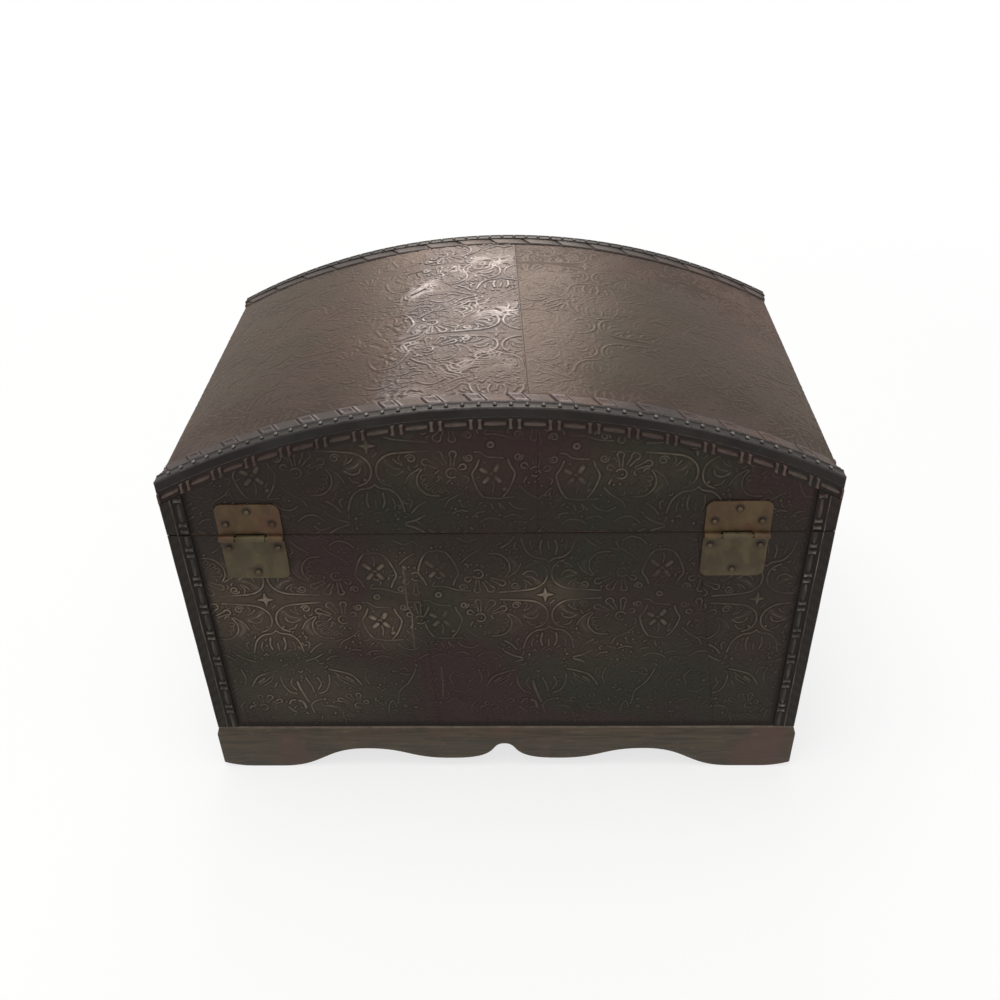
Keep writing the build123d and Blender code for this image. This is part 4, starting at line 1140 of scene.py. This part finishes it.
def edgeStrip(name, faceSign, sideSign, bottom, top, body, node, first):
    width, bend, thick = trunk["stripWidth"], stripLook["bend"], stripLook["thick"]
    total = width + stripY - trunk["innerY"]
    across = [np.linspace(0, width - bend, 40), np.linspace(width - bend + 0.2, width + bend - 0.2, 7),
              np.linspace(width + bend, total, 12)]
    tall = float(top(np.array(halfWidth - width / 2), False))
    rows = int((tall - bottom) / stripLook["cell"]) + 1
    w, t = np.meshgrid(np.concatenate(across), np.linspace(0, 1, rows))
    # position and direction of the surface across the strip
    turn = clip((w - (width - bend)) / (2 * bend), 0, 1) * math.pi / 2
    flat, side = w < width - bend, w >= width + bend
    baseX = np.where(flat, halfWidth - width + w, halfWidth - bend + bend * sin(turn))
    baseY = np.where(side, stripY - (w - width), stripY - bend + bend * cos(turn))
    highest = top(np.minimum(baseX, halfWidth - 0.01), side)
    z = bottom + (highest - bottom) * t
    field = bambooField(z - first, w, stripLook["middle"], stripLook["reach"], stripLook["period"])
    field = field * (0.78 + 0.22 * sin(z / 3.1 + 1.3 * w) * sin(z / 11.0 + sideSign))
    line = clip(1 - ((w - stripLook["line"]) / stripLook["lineHalf"]) ** 2, 0, 1)
    line = line * (0.9 + 0.2 * sin(z / 5.3 + 2.0 * sin(z / 17.0)))
    edge = clip(1 - ((w - width) / stripLook["foldHalf"]) ** 2, 0, 1) * stripLook["foldHeight"]
    dents = stripLook["dent"] + 0.07 * sin(z / 1.9 + 2.1 * w) * sin(z / 4.7 - 1.4 * w + sideSign)
    dents = np.where(w > stripLook["line"], dents, 0.0)
    field = np.where(side, 0.1, np.maximum.reduce([field, stripLook["lineHeight"] * line, edge, dents]))
    height = stripLook["height"] * field * ~side + 0.05 * sin(z / 7.0) - 0.3
    x = baseX + height * sin(turn)
    y = baseY + height * cos(turn)
    innerX = clip(baseX - thick * sin(turn), 0, halfWidth - 0.8)
    points = np.stack([sideSign * x, faceSign * y, z], -1)
    back = np.stack([sideSign * innerX, faceSign * (baseY - thick * cos(turn)), z], -1)
    values = {"relief": 0.08 + 0.92 * field ** 1.15, "wear": 0.45 + 0.25 * sin(z / 21.0 + sideSign)}
    layGrid(name, points, back, values, "tinStrip", body, node)


def bodyStripTop(x, side):
    return bodyTop + 0 * x


def lidStripTop(x, side):
    # below the border on the face, up to the rim on the end
    return archHeight(rimRadius - np.where(side, 1.2, trunk["lip"] + trunk["border"] - 0.6), x)


for face, faceSign in (("front", -1), ("back", 1)):
    for side, sideSign in (("left", -1), ("right", 1)):
        for body, bottom, top in (("body", bodyBottom, bodyStripTop), ("lid", lidBottom, lidStripTop)):
            edgeStrip(title(body, "strip", face, side), faceSign, sideSign, bottom, top, body,
                      f"{body}_{face}_{side}_strip", stripLook[body + "First"])
print("rims, borders, ropes and strips laid")

# pieces that keep their built shape, with softened edges; the angles are in degrees
softening = {"merge": 0.00002, "flat": 1.0, "bevelFrom": 30, "segments": 2, "profile": 0.6, "sharpFrom": 40}


def softCopy(node, name, width, finish):
    mesh = nodes[node].data.copy()
    mesh.name = name
    work = bmesh.new()
    work.from_mesh(mesh)
    bmesh.ops.remove_doubles(work, verts=work.verts, dist=softening["merge"])
    flat, steep = math.radians(softening["flat"]), math.radians(softening["bevelFrom"])
    bmesh.ops.dissolve_limit(work, angle_limit=flat, verts=work.verts, edges=work.edges)
    work.normal_update()
    sharp = [e for e in work.edges if len(e.link_faces) == 2 and e.calc_face_angle() > steep]
    bmesh.ops.bevel(work, geom=sharp, offset=width * mm, segments=softening["segments"], affect="EDGES",
                    profile=softening["profile"], clamp_overlap=True)
    work.to_mesh(mesh)
    work.free()
    mesh.polygons.foreach_set("use_smooth", [True] * len(mesh.polygons))
    mesh.set_sharp_from_angle(angle=math.radians(softening["sharpFrom"]))
    mesh.materials.clear()
    addPiece(name, mesh, finish, nodes[node]["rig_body"], node)


for face, finish in (("front", ""), ("back", ""), ("left", "End"), ("right", "End")):
    softCopy(f"plinth_{face}_skirt", title("plinth", face), 0.9, "plinthWood" + finish)

platePieces = {
    # node: (finish, width of the softened edge)
    **{node: (node, 0.3) for node in hingeLeaves},
    "latch_hook_plate": ("oldBrass", 0.25),
    "latch_stud_plate": ("oldBrass", 0.25),
    "latch_hook": ("oldBrass", 0.25),
    "left_handle_plate": ("darkSteel", 0.3),
    "right_handle_plate": ("darkSteel", 0.3),
}
for node, (finish, width) in platePieces.items():
    softCopy(node, title(*node.split("_")), width, finish)

plainNodes = {
    "hinge_pins": "oldBrass",
    "latch_pivot": "oldBrass",
    "latch_stud": "oldBrass",
    "left_handle_bail": "darkSteel",
    "right_handle_bail": "darkSteel",
    "body_nails": "dullNail",
    "lid_nails": "dullNail",
    "rim_nails": "nailSteel",
}
for name, node in nodes.items():
    if not node.hide_render:
        finish = plainNodes.get(name, "boxWoodEnd" if "left" in name or "right" in name else "boxWood")
        node.data.materials.clear()
        node.data.materials.append(materials[finish])
print("wood, brass and nails finished")

# floor and backdrop: the floor keeps the shadow near the trunk and turns into the backdrop further out

stageLook = {
    "floor": (0.86, 0.86, 0.855), "half": 30, "near": 0.45, "far": 1.3, "glow": 0.70, "worldLight": 0.55,
}


def seenRays(tree):
    # 1 for what the eye sees straight, in a mirror or through glass, 0 for light that falls on the trunk
    path = place(tree, "ShaderNodeLightPath").outputs
    seen = maths("MAXIMUM", path["Is Camera Ray"], path["Is Glossy Ray"])
    return maths("MAXIMUM", seen, path["Is Transmission Ray"])


def addStage():
    half = stageLook["half"]
    mesh = bpy.data.meshes.new("floor")
    square = [(-half, -half, 0), (half, -half, 0), (half, half, 0), (-half, half, 0)]
    mesh.from_pydata(square, [], [(0, 1, 2, 3)])
    addObject("floor", mesh)
    material, tree, shader = startMaterial("paleFloor")
    for key, value in (("Base Color", stageLook["floor"]), ("Roughness", 0.9), ("Specular IOR Level", 0.1)):
        feed(shader.inputs[key], value)
    glow = place(tree, "ShaderNodeEmission", {"Strength": 1.0}).outputs["Emission"]
    away = place(tree, "ShaderNodeVectorMath", {0: objectPoint(tree)}, operation="LENGTH").outputs["Value"]
    share = times(seenRays(tree), ramp(away, stageLook["near"], stageLook["far"], stageLook["glow"], 1.0))
    mixer = place(tree, "ShaderNodeMixShader", {"Fac": share, 1: shader.outputs["BSDF"], 2: glow})
    feed(tree.nodes["Material Output"].inputs["Surface"], mixer.outputs["Shader"])
    mesh.materials.append(material)

    world = bpy.data.worlds.new("world")
    bpy.context.scene.world = world
    world.use_nodes = True
    background = world.node_tree.nodes["Background"]
    light = stageLook["worldLight"]
    feed(background.inputs["Color"], (1, 1, 1))
    feed(background.inputs["Strength"], plus(times(seenRays(world.node_tree), 1 - light), light))


addCamera()
addLamps()
addStage()
bpy.context.scene.view_settings.view_transform = "Standard"
print("camera, lamps and floor placed")
